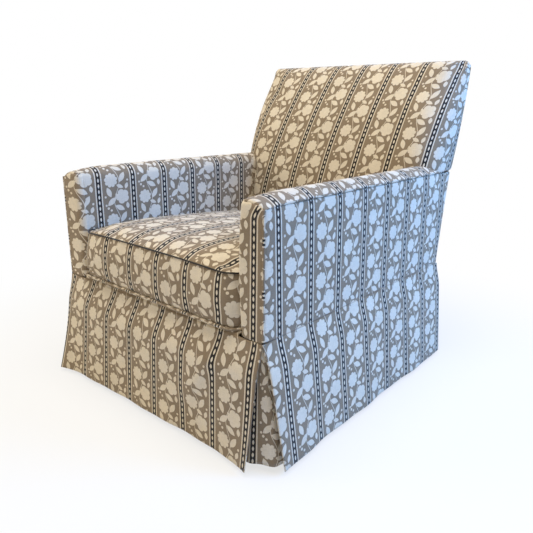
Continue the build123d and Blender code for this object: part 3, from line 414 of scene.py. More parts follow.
def plainFinish(name):
    pale, dark, size, rough, metal, bump, depth = finishes[name]
    mat, tree = newMaterial(name)
    place = addNode(tree, "ShaderNodeTexCoord")["Object"]
    place = addNode(tree, "ShaderNodeMapping", {0: place, 3: tuple(1 / (s * mm) for s in size)})[0]
    grain = {"Vector": place, "Scale": 1.0, "Detail": 3.0, "Roughness": 0.6}
    grain = addNode(tree, "ShaderNodeTexNoise", grain)[0]
    share = addNode(tree, "ShaderNodeMapRange", {0: grain, 1: 0.3, 2: 0.7})[0]
    color = {0: share, 6: hexColor(pale), 7: hexColor(dark)}
    color = addNode(tree, "ShaderNodeMix", color, data_type="RGBA")[2]
    uneven = addNode(tree, "ShaderNodeMapRange", {0: grain, 3: rough - 0.05, 4: rough + 0.05})[0]
    relief = {"Strength": bump, "Distance": depth * mm, "Height": grain}
    relief = addNode(tree, "ShaderNodeBump", relief)[0]
    surface = {"Base Color": color, "Roughness": uneven, "Metallic": metal, "Normal": relief}
    surface = addNode(tree, "ShaderNodeBsdfPrincipled", surface)[0]
    addNode(tree, "ShaderNodeOutputMaterial", {0: surface})
    return mat


finish = {name: plainFinish(name) for name in finishes}
finish["printed linen"] = linenCloth = printedLinen("printed linen")
slotFinish = {
    "printed_linen": "printed linen", "deck_cloth": "plain deck cloth", "black_cambric": "black cambric",
    "wadding": "cotton wadding", "foam": "cotton wadding", "webbing": "jute webbing",
    "hardwood": "kiln dried poplar", "black_steel": "black powder coated steel",
    "zinc_steel": "zinc plated steel", "bearing_steel": "ground bearing steel",
    "spring_steel": "oiled spring wire", "brass": "cast brass",
    "natural_nylon": "natural nylon", "black_nylon": "black nylon",
}
for part in frame["record"]["subparts"]:
    mesh = frame["nodes"][part["node"]].data
    mesh.materials.clear()
    mesh.materials.append(finish[slotFinish[part["material_slot"]]])
print("materials ready:", len(finish))

# seat cushion, in its own frame: x across, y back from the front edge, z up from the deck
cushion = {
    "half": 306, "depth": 701, "boxing": 131, "corner": 36,  # outline, and height between its two welts
    "front": -467, "foot": 335, "pitch": 4.0, "tilt": 3,  # place on the deck, fall to the back and side
    "crown": 37, "drawIn": 4, "bulge": 5,  # rise of the top, hollow of the sides, roundness of the boxing
    "fullAcross": 2.6, "fullAlong": 3, "edgeRise": 0.7,  # how flat the crown is, and how steep at its edge
    "lean": 5, "leanReach": 120, "sag": 5, "sagReach": 110, "pull": 8, "pullReach": 60,  # front corners
    "pullBack": 0.6, "rearFrom": 40, "rearEase": 30,
    "columns": 51, "rows": 57, "levels": 11,  # grid of the top and rows of the boxing
    "zipLow": 50, "zipHigh": 84, "zipHalf": 216, "zipSink": 3.0,
    "stripeAt": 252, "stripeFit": 1.048, "topCord": 1.2, "bottomCord": 3.4,
    "pressure": 4, "swell": 7, "slack": 0.03,
}


def cushionPlace(local):
    p = math.radians(cushion["pitch"])
    y = cushion["front"] + local[:, 1] * math.cos(p) + local[:, 2] * math.sin(p)
    z = cushion["foot"] - local[:, 1] * math.sin(p) + local[:, 2] * math.cos(p)
    z = z - cushion["tilt"] * local[:, 0] / cushion["half"]
    return np.column_stack([local[:, 0], y, z])


def cushionRim():
    # grid places on the edge of a panel, in order round it, and where each goes on the outline
    nx, ny = cushion["columns"], cushion["rows"]
    ring = [(i, 0) for i in range(nx)] + [(nx - 1, j) for j in range(1, ny)]
    ring += [(i, ny - 1) for i in range(nx - 2, -1, -1)] + [(0, j) for j in range(ny - 2, 0, -1)]
    half, depth, corner = cushion["half"], cushion["depth"], cushion["corner"]
    spots = []
    for i, j in ring:
        x, y = (2 * i / (nx - 1) - 1) * half, j / (ny - 1) * depth
        cx, cy = np.clip(x, corner - half, half - corner), np.clip(y, corner, depth - corner)
        ax, ay = x - cx, y - cy
        if ax and ay:
            reach = corner / math.hypot(ax, ay)
            ax, ay = ax * reach, ay * reach
        x, y = cx + ax, cy + ay
        # sides pull in between the corners
        x *= 1 - cushion["drawIn"] / half * (1 - (2 * y / depth - 1) ** 2)
        spots.append((x, y))
    return ring, np.array(spots)


def makeCushion():
    nx, ny, levels, boxing = cushion["columns"], cushion["rows"], cushion["levels"], cushion["boxing"]
    ring, rim = cushionRim()
    middle = np.array([0, cushion["depth"] / 2])
    order = {place: k for k, place in enumerate(ring)}
    flat = np.zeros((nx, ny, 2))
    for i in range(nx):
        for j in range(ny):
            a, b = 2 * i / (nx - 1) - 1, 2 * j / (ny - 1) - 1
            k = max(abs(a), abs(b))
            if k == 0:
                flat[i, j] = middle
                continue
            # the edge point in the same direction, between two places of the rim
            fa, fb = (a / k + 1) / 2 * (nx - 1), (b / k + 1) / 2 * (ny - 1)
            la, lb = math.floor(fa + 1e-6), math.floor(fb + 1e-6)
            ha, hb = min(la + (fa - la > 1e-6), nx - 1), min(lb + (fb - lb > 1e-6), ny - 1)
            w = max(fa - la, fb - lb, 0)
            flat[i, j] = middle + k * ((1 - w) * rim[order[la, lb]] + w * rim[order[ha, hb]] - middle)
    sx, sy = flat[..., 0] / cushion["half"], 2 * flat[..., 1] / cushion["depth"] - 1
    riseX = np.clip(1 - np.abs(sx) ** cushion["fullAcross"], 0, 1) ** cushion["edgeRise"]
    riseY = np.clip(1 - np.abs(sy) ** cushion["fullAlong"], 0, 1) ** cushion["edgeRise"]
    away = np.hypot(cushion["half"] - np.abs(flat[..., 0]), flat[..., 1])
    droop = cushion["sag"] * np.exp(-(away / cushion["sagReach"]) ** 2)
    forward = cushion["lean"] * np.exp(-flat[..., 1] / cushion["leanReach"])
    pull = cushion["pull"] * np.exp(-(away / cushion["pullReach"]) ** 2)
    topX = flat[..., 0] - pull * np.sign(flat[..., 0])
    topY = flat[..., 1] - forward + cushion["pullBack"] * pull
    top = np.dstack([topX, topY, boxing + cushion["crown"] * (riseX * riseY) - droop]).reshape(-1, 3)
    base = np.dstack([flat, np.zeros((nx, ny))]).reshape(-1, 3)
    count, n = nx * ny, len(ring)
    at = np.arange(count).reshape(nx, ny)
    quads = np.stack([at[:-1, :-1], at[1:, :-1], at[1:, 1:], at[:-1, 1:]], -1).reshape(-1, 4)
    # boxing between the two rims, a little round, flat where the zip lies
    rimTop = np.array([at[i, j] for i, j in ring])
    run = lineRun(np.vstack([rim, rim[:1]])) - cushion["half"]
    ahead = np.roll(rim, -1, 0) - np.roll(rim, 1, 0)
    outward = np.column_stack([ahead[:, 1], -ahead[:, 0]]) / np.linalg.norm(ahead, axis=1, keepdims=True)
    behind = smooth((rim[:, 1] - cushion["depth"] + cushion["rearFrom"]) / cushion["rearEase"])
    verts, rings, heldBox = [top, base], [rimTop + count], []
    for r in range(1, levels):
        t = r / levels
        level = (1 - t) * base[rimTop] + t * top[rimTop]
        nearZip = (level[:, 2] > cushion["zipLow"]) & (level[:, 2] < cushion["zipHigh"])
        nearZip = nearZip & (np.abs(rim[:, 0]) < cushion["zipHalf"]) & (behind > 0.5)
        swell = cushion["bulge"] * math.sin(math.pi * t) ** 0.8 * (1 - behind)
        swell = swell - cushion["zipSink"] * nearZip
        level[:, :2] += outward * swell[:, None]
        verts.append(level)
        rings.append(2 * count + (r - 1) * n + np.arange(n))
        heldBox.append(np.where(behind > 0.5, 1.0, 0.0))
    rings.append(rimTop)
    faces = [quads, quads[:, ::-1] + count]
    across = (flat[..., 0].ravel() - cushion["stripeAt"]) * cushion["stripeFit"]
    pairs = np.column_stack([across, flat[..., 1].ravel()])
    girth = (run - cushion["stripeAt"]) * cushion["stripeFit"]
    cornerUvs = [pairs[quads.ravel()], pairs[quads[:, ::-1].ravel()] * (1, -1)]
    for r in range(levels):
        low, high = rings[r], rings[r + 1]
        faces.append(np.stack([low, np.roll(low, -1), np.roll(high, -1), high], -1))
        u0, u1 = girth[:-1], girth[1:]
        v0, v1 = (r / levels - 1) * boxing, ((r + 1) / levels - 1) * boxing
        strip = np.stack([u0, 0 * u0 + v0, u1, 0 * u0 + v0, u1, 0 * u0 + v1, u0, 0 * u0 + v1], -1)
        cornerUvs.append(strip.reshape(-1, 2))
    held = np.concatenate([np.zeros(count), np.ones(count)] + heldBox)
    held[rimTop] = 1.0
    faces = np.concatenate(faces).tolist()
    spots = cushionPlace(np.concatenate(verts))
    obj = makeObject("seat_cushion", spots, faces, np.concatenate(cornerUvs), linenCloth, held)
    closeUp(obj, weld=False)
    inflate(obj, cushion["pressure"], cushion["swell"], cushion["slack"])
    settle(obj, "cushion", "printed_linen", 0.8, "cushion_cover", "cushion_foam")
    along = np.column_stack([outward, np.zeros(n)])
    return spots[rimTop] + along * cushion["topCord"], spots[rimTop + count] + along * cushion["bottomCord"]


cushionTopSeam, cushionBottomSeam = makeCushion()
print("seat cushion made")

# inside back: front, rounded turns, sides and the roll over the top in one cover
back = {
    "bendY": 262, "bendZ": 470, "footZ": 285, "footLean": 24,  # the front bends behind the cushion
    "rise": 170, "lean": 0.05, "reach": 165,  # how stiffly its curve leaves the bend and meets the roll
    "roll": 40, "sideRoll": 14, "rollFrom": 145, "corner": 17, "topBend": 4.5,  # roll over the top
    "turnWide": 108, "turnDeep": 88, "turnFull": 0.8, "rearRoom": 16, "sideSwell": 7,  # turn into the sides
    "armGap": 612, "armClear": 0.8, "tuckSlope": 0.8, "tuckRun": 6,  # tucked in along the arms below this
    "seamTop": 905, "seamCorner": 70, "seamIn": 7, "tuck": 8,  # seam behind
    "crest": 640, "stripeAt": 358, "stripeLean": 26, "stripeWide": 116.3, "stripeFan": 6.3,
    "depth": 13, "pressure": 3, "swell": 3.5, "slack": 0.01,
}


def sideSwell(z):
    # how far the padded sides stand out above the arms
    up = np.clip((z - back["armGap"]) / (chair["top"] - back["armGap"]), 0, 1)
    return back["sideSwell"] * np.sin(math.pi * up) ** 0.8


def backSurface(sink):
    # grid of the cover, sunk by sink mm below its outside
    half, flatHalf = chair["armHalf"], chair["armHalf"] - back["turnWide"]
    flat = np.linspace(0, flatHalf, 23)[:-1]
    turn = np.linspace(0, math.pi / 2, 15)
    across, ahead = np.sin(turn) ** back["turnFull"], np.cos(turn) ** back["turnFull"]
    x = np.concatenate([flat, flatHalf + back["turnWide"] * across])
    share = np.concatenate([np.zeros(len(flat)), 1 - ahead])
    arcRun = np.cumsum(np.hypot(np.diff(back["turnWide"] * across), np.diff(back["turnDeep"] * ahead)))
    u = np.concatenate([flat, [flatHalf], flatHalf + arcRun])
    past = np.clip((x - half + back["corner"]) / back["corner"], 0, 0.99)
    top = chair["top"] - back["corner"] * (1 - np.sqrt(1 - past ** 2)) - sink
    narrow = smooth(share / 0.5)
    roll = back["roll"] * (1 - narrow) + back["sideRoll"] * narrow - 0.6 * sink
    cz = top - roll
    cy = rearY(cz) - sink - roll
    start = math.radians(back["rollFrom"])
    endY, endZ = cy + roll * math.cos(start), cz + roll * math.sin(start)
    # middle line of the front, a smooth curve from the bend up to the roll
    t = np.linspace(0, 1, 200)[:, None]
    first, last = np.array((back["bendY"] + sink, back["bendZ"])), np.array((endY[0], endZ[0]))
    second = first + back["rise"] * np.array((back["lean"], 1))
    third = last - back["reach"] * np.array((math.sin(start), -math.cos(start)))
    line = (1 - t) ** 3 * first + 3 * t * (1 - t) ** 2 * second + 3 * t ** 2 * (1 - t) * third + t ** 3 * last
    lineY = np.concatenate([[back["bendY"] - back["footLean"] + sink], line[:, 0]])
    lineZ = np.concatenate([[back["footZ"]], line[:, 1]])
    levels = np.concatenate([np.linspace(back["footZ"], back["bendZ"], 13)[:-1],
                             np.linspace(back["bendZ"], back["armGap"] - 1, 12)])
    low = len(levels)
    rowsZ = [np.full(len(x), z) for z in levels]
    rowsZ += [back["armGap"] + 1 + f * (endZ - back["armGap"] - 1) for f in np.linspace(0, 1, 28)]
    rowsY = []
    for k, z in enumerate(rowsZ):
        y = np.interp(z, lineZ, lineY)
        deep = np.minimum(back["turnDeep"], rearY(z) - sink - y - back["rearRoom"] + 0.5 * sink)
        rowsY.append(y + (deep if k >= low else back["turnDeep"]) * share)
    # towards the top each column bends to meet the start of its own roll
    miss = endY - rowsY[-1]
    for k in range(low, len(rowsZ)):
        up = (rowsZ[k] - back["armGap"]) / (endZ - back["armGap"])
        rowsY[k] = rowsY[k] + miss * up ** back["topBend"]
    for f in np.linspace(0, 1, 9)[1:]:
        angle = start * (1 - f)
        rowsY.append(cy + roll * math.cos(angle))
        rowsZ.append(cz + roll * math.sin(angle))
    corner = back["seamCorner"]
    past = np.clip((x - half + back["seamIn"] + corner) / corner, 0, 1)
    seamZ = back["seamTop"] - corner * (1 - np.sqrt(1 - past ** 2))
    for f in (0.3, 0.65, 1.0):
        z = cz + (seamZ - cz) * f
        rowsY.append(rearY(z) - sink)
        rowsZ.append(z)
    y, z = np.array(rowsY), np.array(rowsZ)
    x = (x - sink * share)[None] + share * sideSwell(z)
    # below the arms' tops the cloth is tucked back along the arms
    inner = chair["armInner"] - back["armClear"] - sink
    over = np.clip(x[:low] - inner, 0, None)
    tuckY = np.array([np.interp(inner, x[k], y[k]) for k in range(low)])
    y[:low] = np.where(over > 0, tuckY[:, None] + back["tuckSlope"] * over, y[:low])
    x[:low] = np.minimum(x[:low], inner)
    # sides run back to the seam behind and just round its corner
    rear = np.maximum(rearY(np.minimum(z[:, -1], cz[-1])) - sink, y[:, -1])
    rear[:low] = y[:low, -1] + back["tuckRun"]
    along = (rear - y[:, -1])[:, None] * np.array((0.2, 0.4, 0.6, 0.8, 1.0, 1.0))
    tuck = np.array((0, 0, 0, 0, 0, back["tuck"]))  # the last column goes round the corner
    x, y = np.hstack([x, x[:, -1:] - tuck]), np.hstack([y, y[:, -1:] + along])
    z = np.hstack([z, np.repeat(z[:, -1:], len(tuck), 1)])
    u = np.hstack([np.broadcast_to(u, (len(z), len(u))), u[-1] + along + tuck])
    points = np.dstack([x, y, z])
    points = np.concatenate([points[:, :0:-1] * (-1, 1, 1), points], 1)
    u = np.concatenate([-u[:, :0:-1], u], 1)
    middle = u.shape[1] // 2
    v = np.broadcast_to(runLength(points[:, middle:middle + 1], 0), u.shape)
    # the stripes draw together a little towards the top and lean to the right
    up = np.clip((points[..., 2] - back["crest"]) / (chair["top"] - back["crest"]), -1, 1)
    fan = linen["repeat"] / (back["stripeWide"] - back["stripeFan"] * up)
    return points, np.dstack([(u - back["stripeAt"] - back["stripeLean"] * up) * fan, v])


def makeInsideBack():
    outer, uvs = backSurface(0)
    inner, _ = backSurface(back["depth"])
    air = (back["pressure"], back["swell"], back["slack"])
    upholster("inside_back_cover", "inside_back", outer, inner, uvs, 0.85, softRim=9, air=air)


# outside back: a flat panel sewn in behind
outsideBack = {"half": 378.4, "bottom": 320, "top": 905, "corner": 70, "depth": 5}


def makeOutsideBack():
    d = outsideBack
    s, t = np.meshgrid(np.linspace(-1, 1, 65), np.linspace(0, 1, 51), indexing="ij")
    past = np.clip((np.abs(s) * d["half"] - d["half"] + d["corner"]) / d["corner"], 0, 1)
    high = d["top"] - d["corner"] * (1 - np.sqrt(1 - past ** 2))
    z = d["bottom"] + (high - d["bottom"]) * t
    points = np.dstack([s * (d["half"] + sideSwell(z)), rearY(z), z])
    uvs = np.dstack([-s * d["half"], z - d["bottom"]])
    inner = inset(points, d["depth"], (0, 0, 600))
    upholster("outside_back_cover", "outside_back", points, inner, uvs, 0.4)


makeInsideBack()
makeOutsideBack()
print("back made")

# arms: a wrap over the inside and the top, a facing in front, a flat panel outside
arm = {
    "front": -458, "rear": 352, "rearOut": 44, "bottom": 302, "depth": 14,  # wrap
    "ease": 110, "easeLeast": 0.25, "edge": 5, "coverTurn": 0.9, "pressure": 2, "swell": 2.5,
    "facingTop": 624, "facingDrop": 15, "facingDepth": 10, "pillow": 4, "inward": 9, "turnIn": 22,
    "cornerDrop": 6, "cornerWide": 0.09, "roundSide": 7, "roundTop": 30, "roundFull": 0.6,
    "chainTop": 360, "chainFoot": 357, "pull": 14, "pullFrom": 36,  # chain on the facing
    "panelIn": 1.6, "panelSwell": 2.2, "panelDepth": 4, "panelFront": 6, "panelRear": 2,  # outside panel
    "stripeAt": -414, "lean": 10, "farStripe": -392, "farScale": 0.95,
    "farFacing": -44, "farWide": 0.66,
}
armMiddle = 480  # height of a point inside the chair, for telling the covers' insides


def armProfile(count):
    # inside face up, over the crown and down to the outer seam: x from the middle of the chair, z
    a, b, c = chair["armInner"], chair["armHalf"], chair["crown"]
    keys = np.array([
        (a, arm["bottom"]), (a, c - 38), (a + 0.6, c - 26), (a + 2.5, c - 17), (a + 6, c - 10),
        (a + 12, c - 4.5), (a + 22, c - 1), (a + 30, c), (a + 40, c - 1.5), (a + 52, c - 6),
        (a + 63, c - 13), (b + 0.7, c - 20), (b + 1, c - 22), (b + 0.2, c - 23.8),
    ])
    run = lineRun(keys)
    spread = np.linspace(0, run[-1], count)
    return np.interp(spread, run, keys[:, 0]), np.interp(spread, run, keys[:, 1]), spread


def facingHeight(s):
    return arm["facingTop"] - arm["facingDrop"] * s ** 4.5


def makeArmCover(side, sign):
    px, pz, run = armProfile(66)
    share = (px - chair["armInner"]) / (chair["armHalf"] - chair["armInner"])
    t = np.concatenate([np.linspace(0, 0.05, 9), np.linspace(0.05, 1, 62)[1:]])  # close rows in front
    rear = arm["rear"] + arm["rearOut"] * smooth(share)
    bend = np.clip(1 - (px - chair["armInner"]) / arm["turnIn"], 0, 1)
    front = arm["front"] + arm["coverTurn"] * arm["turnIn"] * (1 - np.sqrt(1 - bend ** 2))
    y = front[None] + (rear - front)[None] * t[:, None]
    # the top eases down towards the facing and turns over its edge
    past = y - arm["front"]
    least = arm["easeLeast"]
    near = least + (1 - least) * (1 - (1 - np.clip(past / arm["ease"], 0, 1)) ** 2)
    near = near * np.sqrt(1 - (1 - np.clip(past / arm["edge"], 0, 1)) ** 2)
    lowest = facingHeight(share) - 1
    z = np.where(pz > lowest, lowest + (pz - lowest) * near, pz)
    points = np.dstack([np.broadcast_to(sign * px, z.shape), y, z])
    start, scale = (arm["stripeAt"], 1) if sign > 0 else (arm["farStripe"], arm["farScale"])
    uvs = np.dstack([(y - start) * scale, np.broadcast_to(run + arm["bottom"] - chair["seam"], z.shape)])
    inner = inset(points, arm["depth"], (sign * 360, 0, armMiddle))
    air = (arm["pressure"], arm["swell"])
    upholster(f"{side}_arm_cover", f"{side}_arm_wrap", points, inner, uvs, 0.8, air=air)


def makeFacing(side, sign):
    # its chain leans out where the cloth is pulled over the top corner
    s, t = np.meshgrid(np.linspace(0, 1, 27) ** 1.4, np.linspace(0, 1, 61), indexing="ij")
    inner = chair["armInner"] - arm["inward"] * np.sin(math.pi * np.clip(t, 0, 1)) ** 0.7
    x = inner + (chair["armHalf"] - inner) * s
    high = facingHeight(s) - arm["cornerDrop"] * np.clip(1 - s / arm["cornerWide"], 0, 1) ** 2
    z = chair["seam"] - 0.5 + (high - chair["seam"] + 0.5) * t
    outerEdge = 1 - np.clip(2 * s - 1, 0, 1) ** arm["roundSide"]
    rounded = outerEdge * (1 - np.clip(2 * t - 1, 0, 1) ** arm["roundTop"])
    y = chair["frontPlane"] + arm["pillow"] * (1 - np.clip(rounded, 0, 1) ** arm["roundFull"])
    bend = np.clip(1 - (x - inner) / arm["turnIn"], 0, 1)
    y = y + arm["turnIn"] * (1 - np.sqrt(1 - bend ** 2))
    points = np.dstack([sign * x, y, z])
    chain = arm["chainTop"] + (arm["chainFoot"] - arm["chainTop"]) * (1 - t)
    chain = chain + arm["pull"] * smooth((z - arm["facingTop"] + arm["pullFrom"]) / arm["pullFrom"]) ** 1.3
    # the far facing carries on the flowers of the inside and has no chain
    u = x - chain if sign > 0 else arm["farFacing"] - runLength(points, 0) * arm["farWide"]
    uvs = np.dstack([u, z - chair["seam"]])
    inner = inset(points, arm["facingDepth"], (0, 0, armMiddle))
    upholster(f"{side}_arm_facing_cover", f"{side}_arm_facing", points, inner, uvs, 0.5, softRim=4)


def makeOutsideArm(side, sign):
    # a flat panel down to the skirt
    s, t = np.meshgrid(np.linspace(0, 1, 81), np.linspace(0, 1, 31), indexing="ij")
    z = chair["seam"] - 1 + (chair["armSeam"] - chair["seam"] + 1) * t
    front = arm["front"] + arm["panelFront"]
    y = front + (rearY(z) - arm["panelRear"] - front) * s
    flatIn = np.clip(1 - np.abs(2 * s - 1) ** 20, 0, 1) * (1 - np.clip(2 * t - 1, 0, 1) ** 14)
    lift = arm["panelSwell"] * flatIn
    points = np.dstack([sign * (chair["armHalf"] - arm["panelIn"] + lift), y, z])
    uvs = np.dstack([y - arm["stripeAt"] - arm["lean"] * (1 - t), z - chair["seam"]])
    inner = inset(points, arm["panelDepth"], (0, 0, armMiddle))
    upholster(f"{side}_outside_arm_cover", f"{side}_outside_arm", points, inner, uvs, 0.4, softRim=4)


for side, sign in (("left", -1), ("right", 1)):
    makeArmCover(side, sign)
    makeFacing(side, sign)
    makeOutsideArm(side, sign)
print("arms made")

# skirt: four panels hung from the seat seam, with an insert behind each open corner
skirt = {
    "cloth": 2.0, "start": 0.6, "seamIn": 0.4,
    "belly": 30, "bellyAt": 0.28, "bellyEnds": 0.62, "hemMiddle": 24, "hemCorner": 45, "hemSkew": 4,  # front
    "leftFlare": 39, "rightFlare": 20,
    "wave": (1.6, 9.2, 0.6), "ripple": (1.0, 21, 1.3),  # height, turns across the panel, start
    "fold": 9, "foldAt": (205, 185), "foldLean": (0.55, 0.835), "foldWide": (2600, 260),  # drag fold
    "foldFrom": 125, "foldIn": 90, "foldTo": 118, "foldOut": 60,
    "frontStripe": 362, "frontPitch": 104, "hemPitch": 112, "hemShift": 6,
    "sideOut": 9, "sideFlare": 23, "cornerFlare": 14, "sideFront": 25, "sideRear": 16,  # side panels
    "sideWave": (2.4, 17, 0.8), "sideRipple": (1.2, 39, 2), "sideShift": 12,
    "backSpring": 5, "backOut": 13.5, "backFlare": 10,  # back panel
    "backWave": (3, 9, 0.4), "backRipple": (1.5, 22, 0),
    "pleatTop": 316, "pleatHem": 18, "pleatRipple": (1.2, 23, 1), "pleatStripe": 52,  # corner inserts
    "pleatReach": (48, 84), "pleatCut": (8, 32), "pleatSoften": 14,  # each way from the corner, top and hem
    "frontPleat": (30, 12), "rearPleat": (20, 8),  # how far the hem stands out at the side and at the end
}


def hang(name, points, uvs, rail, *nodes):
    obj = shell(name, points, inset(points, skirt["cloth"], (0, 0, 200)), uvs, linenCloth)
    obj.data.attributes.remove(obj.data.attributes["held"])
    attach(obj, "chair")
    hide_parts(*nodes)


def skirtLevels(across, down):
    s, q = np.meshgrid(across, np.linspace(0, 1, down), indexing="ij")
    return s, q, chair["seam"] - 0.3 + (chair["hem"] - chair["seam"] + 0.3) * q


def waves(kind, s, share, more=0):
    height, turns, start = skirt[kind]
    return height * share * np.sin(s * turns + start + more)


def frontSkirt():
    d = skirt
    s, q, z = skirtLevels(np.linspace(-1, 1, 141), 49)
    half = chair["armHalf"] - d["seamIn"]
    left, right = -half - d["leftFlare"] * q ** 1.5, half - d["rightFlare"] * q
    x = (left + right) / 2 + (right - left) / 2 * s
    # out from the rail under the cushion, less at the two ends, then straight down
    full = d["belly"] * (1 - d["bellyEnds"] * np.abs(s) ** 5)
    hem = d["hemMiddle"] - d["hemSkew"] * s + (d["hemCorner"] - d["hemMiddle"]) * np.abs(s) ** 8
    out = d["start"] + (full - d["start"]) * smooth(q / d["bellyAt"]) ** 0.8 + (hem - full) * q ** 1.6
    out = out + waves("wave", s, q ** 1.5) + waves("ripple", s, q, q)
    # drag fold from the right end of the seam down to the left
    (fx, fz), (ax, az) = d["foldAt"], d["foldLean"]
    along, off = (x - fx) * ax + (z - fz) * az, (x - fx) * az - (z - fz) * ax
    gentle, steep = d["foldWide"]
    fold = d["fold"] * np.exp(-np.clip(off, None, 0) ** 2 / gentle - np.clip(off, 0, None) ** 2 / steep)
    fold = fold * smooth((along + d["foldFrom"]) / d["foldIn"])
    out = out + fold * smooth((d["foldTo"] - along) / d["foldOut"])
    points = np.dstack([x, chair["frontPlane"] - out, z])
    pitch = d["frontPitch"] + (d["hemPitch"] - d["frontPitch"]) * q
    u = (x - d["frontStripe"] + d["hemShift"] * q) * linen["repeat"] / pitch
    uvs = np.dstack([u, z - chair["seam"]])
    hang("front_skirt_panel", points, uvs, "front_rail", "skirt_front")


def sideSkirt(side, sign):
    d = skirt
    s, q, z = skirtLevels(np.linspace(0, 1, 121), 45)
    front = chair["frontPlane"] + 0.3 + d["sideFront"] * q
    rear = chair["backPlane"] - 0.3 + d["sideRear"] * q
    y = front + (rear - front) * s
    flare = d["sideFlare"] + d["cornerFlare"] * (1 - s) ** 3
    out = d["start"] + d["sideOut"] * smooth(q / 0.25) + flare * q
    out = out + waves("sideWave", s, q ** 1.4) + waves("sideRipple", s, q, q)
    points = np.dstack([sign * (chair["armHalf"] + out), y, z])
    uvs = np.dstack([y - arm["stripeAt"] - arm["lean"] - d["sideShift"] * q, z - chair["seam"]])
    hang(f"{side}_skirt_panel", points, uvs, f"{side}_side_rail", f"skirt_{side}")


def backSkirt():
    d = skirt
    s, q, z = skirtLevels(np.linspace(1, -1, 121), 45)
    half = chair["armHalf"] - d["seamIn"]
    out = d["start"] + d["backSpring"] * smooth(q / 0.2) + d["backOut"] * q
    out = out + waves("backWave", s, q ** 1.4) + waves("backRipple", s, q)
    points = np.dstack([s * (half + d["backFlare"] * q), chair["backPlane"] + out, z])
    hang("back_skirt_panel", points, np.dstack([-s * half, z - chair["seam"]]), "rear_rail", "skirt_back")


def pleat(place, side, sign, end):
    # bent round the corner above, a slanting panel at the hem
    d = skirt
    cornerX, cornerY = sign * chair["armHalf"], chair["frontPlane"] if end > 0 else chair["backPlane"]
    sideOut, endOut = d[f"{place}Pleat"]
    (reach, hemReach), (cut, hemCut) = d["pleatReach"], d["pleatCut"]
    above = [(-reach, 1), (-cut, 1), (-1, cut), (-1, reach)]
    below = [(-hemReach, -endOut), (-hemCut, -endOut), (sideOut, hemCut - endOut), (sideOut, hemReach)]
    t = np.linspace(0, 1, 61)
    rows = []
    for corners in (np.array(above, float), np.array(below, float)):
        run = lineRun(corners)
        line = np.column_stack([np.interp(t * run[-1], run, corners[:, i]) for i in (0, 1)])
        for _ in range(d["pleatSoften"]):
            line[1:-1] = (line[:-2] + 2 * line[1:-1] + line[2:]) / 4
        rows.append(line)
    q = np.linspace(0, 1, 33)
    flat = rows[0][:, None] * (1 - q)[None, :, None] + rows[1][:, None] * q[None, :, None]
    height, turns, start = d["pleatRipple"]
    ripple = height * np.sin(t * turns + start)[:, None] * q[None] ** 2
    z = np.broadcast_to(d["pleatTop"] + (d["pleatHem"] - d["pleatTop"]) * q, ripple.shape)
    points = np.dstack([cornerX + sign * (flat[..., 0] + ripple), cornerY + end * (flat[..., 1] - ripple), z])
    u = runLength(points, 0)[:, -1:] + d["pleatStripe"]
    uvs = np.dstack([np.broadcast_to(u, z.shape), z - chair["seam"]])
    hang(f"{place}_{side}_pleat_insert", points, uvs, f"{side}_side_rail", f"{place}_{side}_pleat")


frontSkirt()
backSkirt()
for side, sign in (("left", -1), ("right", 1)):
    sideSkirt(side, sign)
    pleat("front", side, sign, 1)
    pleat("rear", side, sign, -1)
print("skirt made")

# padded lip along the front of the seat, its stripes run on into the skirt
lip = {"half": 311.5, "front": -460.3, "rear": -440, "bottom": 301, "top": 327, "depth": 5}


def makeLip():
    radius = (lip["rear"] - lip["front"]) / 2
    turn = np.linspace(0, math.pi, 17)
    y = (lip["front"] + lip["rear"]) / 2 - radius * np.cos(turn)
    z = lip["top"] - radius + radius * np.sin(turn)
    y = np.concatenate([[lip["front"]] * 4, y, [lip["rear"]] * 4])
    rise = np.linspace(lip["bottom"], z[0], 5)[:4]
    z = np.concatenate([rise, z, rise[::-1]])
    x = np.linspace(-lip["half"], lip["half"], 91)
    points = np.dstack([np.repeat(x[:, None], len(y), 1), np.tile(y, (91, 1)), np.tile(z, (91, 1))])
    u = (points[..., 0] - skirt["frontStripe"]) * linen["repeat"] / skirt["frontPitch"]
    uvs = np.dstack([u, runLength(points, 1) + lip["bottom"] - chair["seam"]])
    inner = inset(points, lip["depth"], (0, (lip["front"] + lip["rear"]) / 2, lip["bottom"]))
    upholster("front_lip", "front_edge_roll", points, inner, uvs, 0.7)


# seat deck under the cushion: plain cloth over felt, sewn to the lip's cloth along one line
deck = {
    "half": 311, "front": -432, "length": 764, "drop": 4.0, "top": 328.2, "edge": 14, "edgeDrop": 9,
    "depth": 20, "edgeDepth": 12, "sewnAt": 120, "sewnDeep": 1.2, "sewnWide": 6,
}


def makeDeck():
    s, t = np.meshgrid(np.linspace(-1, 1, 61), np.linspace(0, 1, 71), indexing="ij")
    p = math.radians(deck["drop"])
    x, run = deck["half"] * s, deck["length"] * t
    y = deck["front"] + run * math.cos(p)
    edge = np.minimum((1 - np.abs(s)) * deck["half"], np.minimum(t, 1 - t) * deck["length"])
    edge = np.clip(edge / deck["edge"], 0, 1)
    z = deck["top"] - run * math.sin(p) - deck["edgeDrop"] * (1 - np.sqrt(1 - (1 - edge) ** 2))
    z = z - deck["sewnDeep"] * np.exp(-((run - deck["sewnAt"]) / deck["sewnWide"]) ** 2)
    points = np.dstack([x, y, z])
    inner = inset(points, deck["depth"] - (deck["depth"] - deck["edgeDepth"]) * (1 - edge), (0, 0, 0))
    upholster("seat_deck_cover", "seat_deck", points, inner, np.dstack([x, y]), 0.6, slot="deck_cloth")


# wadding on the front rail, which holds the skirt out
wad = {"half": 309, "front": -477, "rail": -454.6, "bottom": 181, "top": 279}


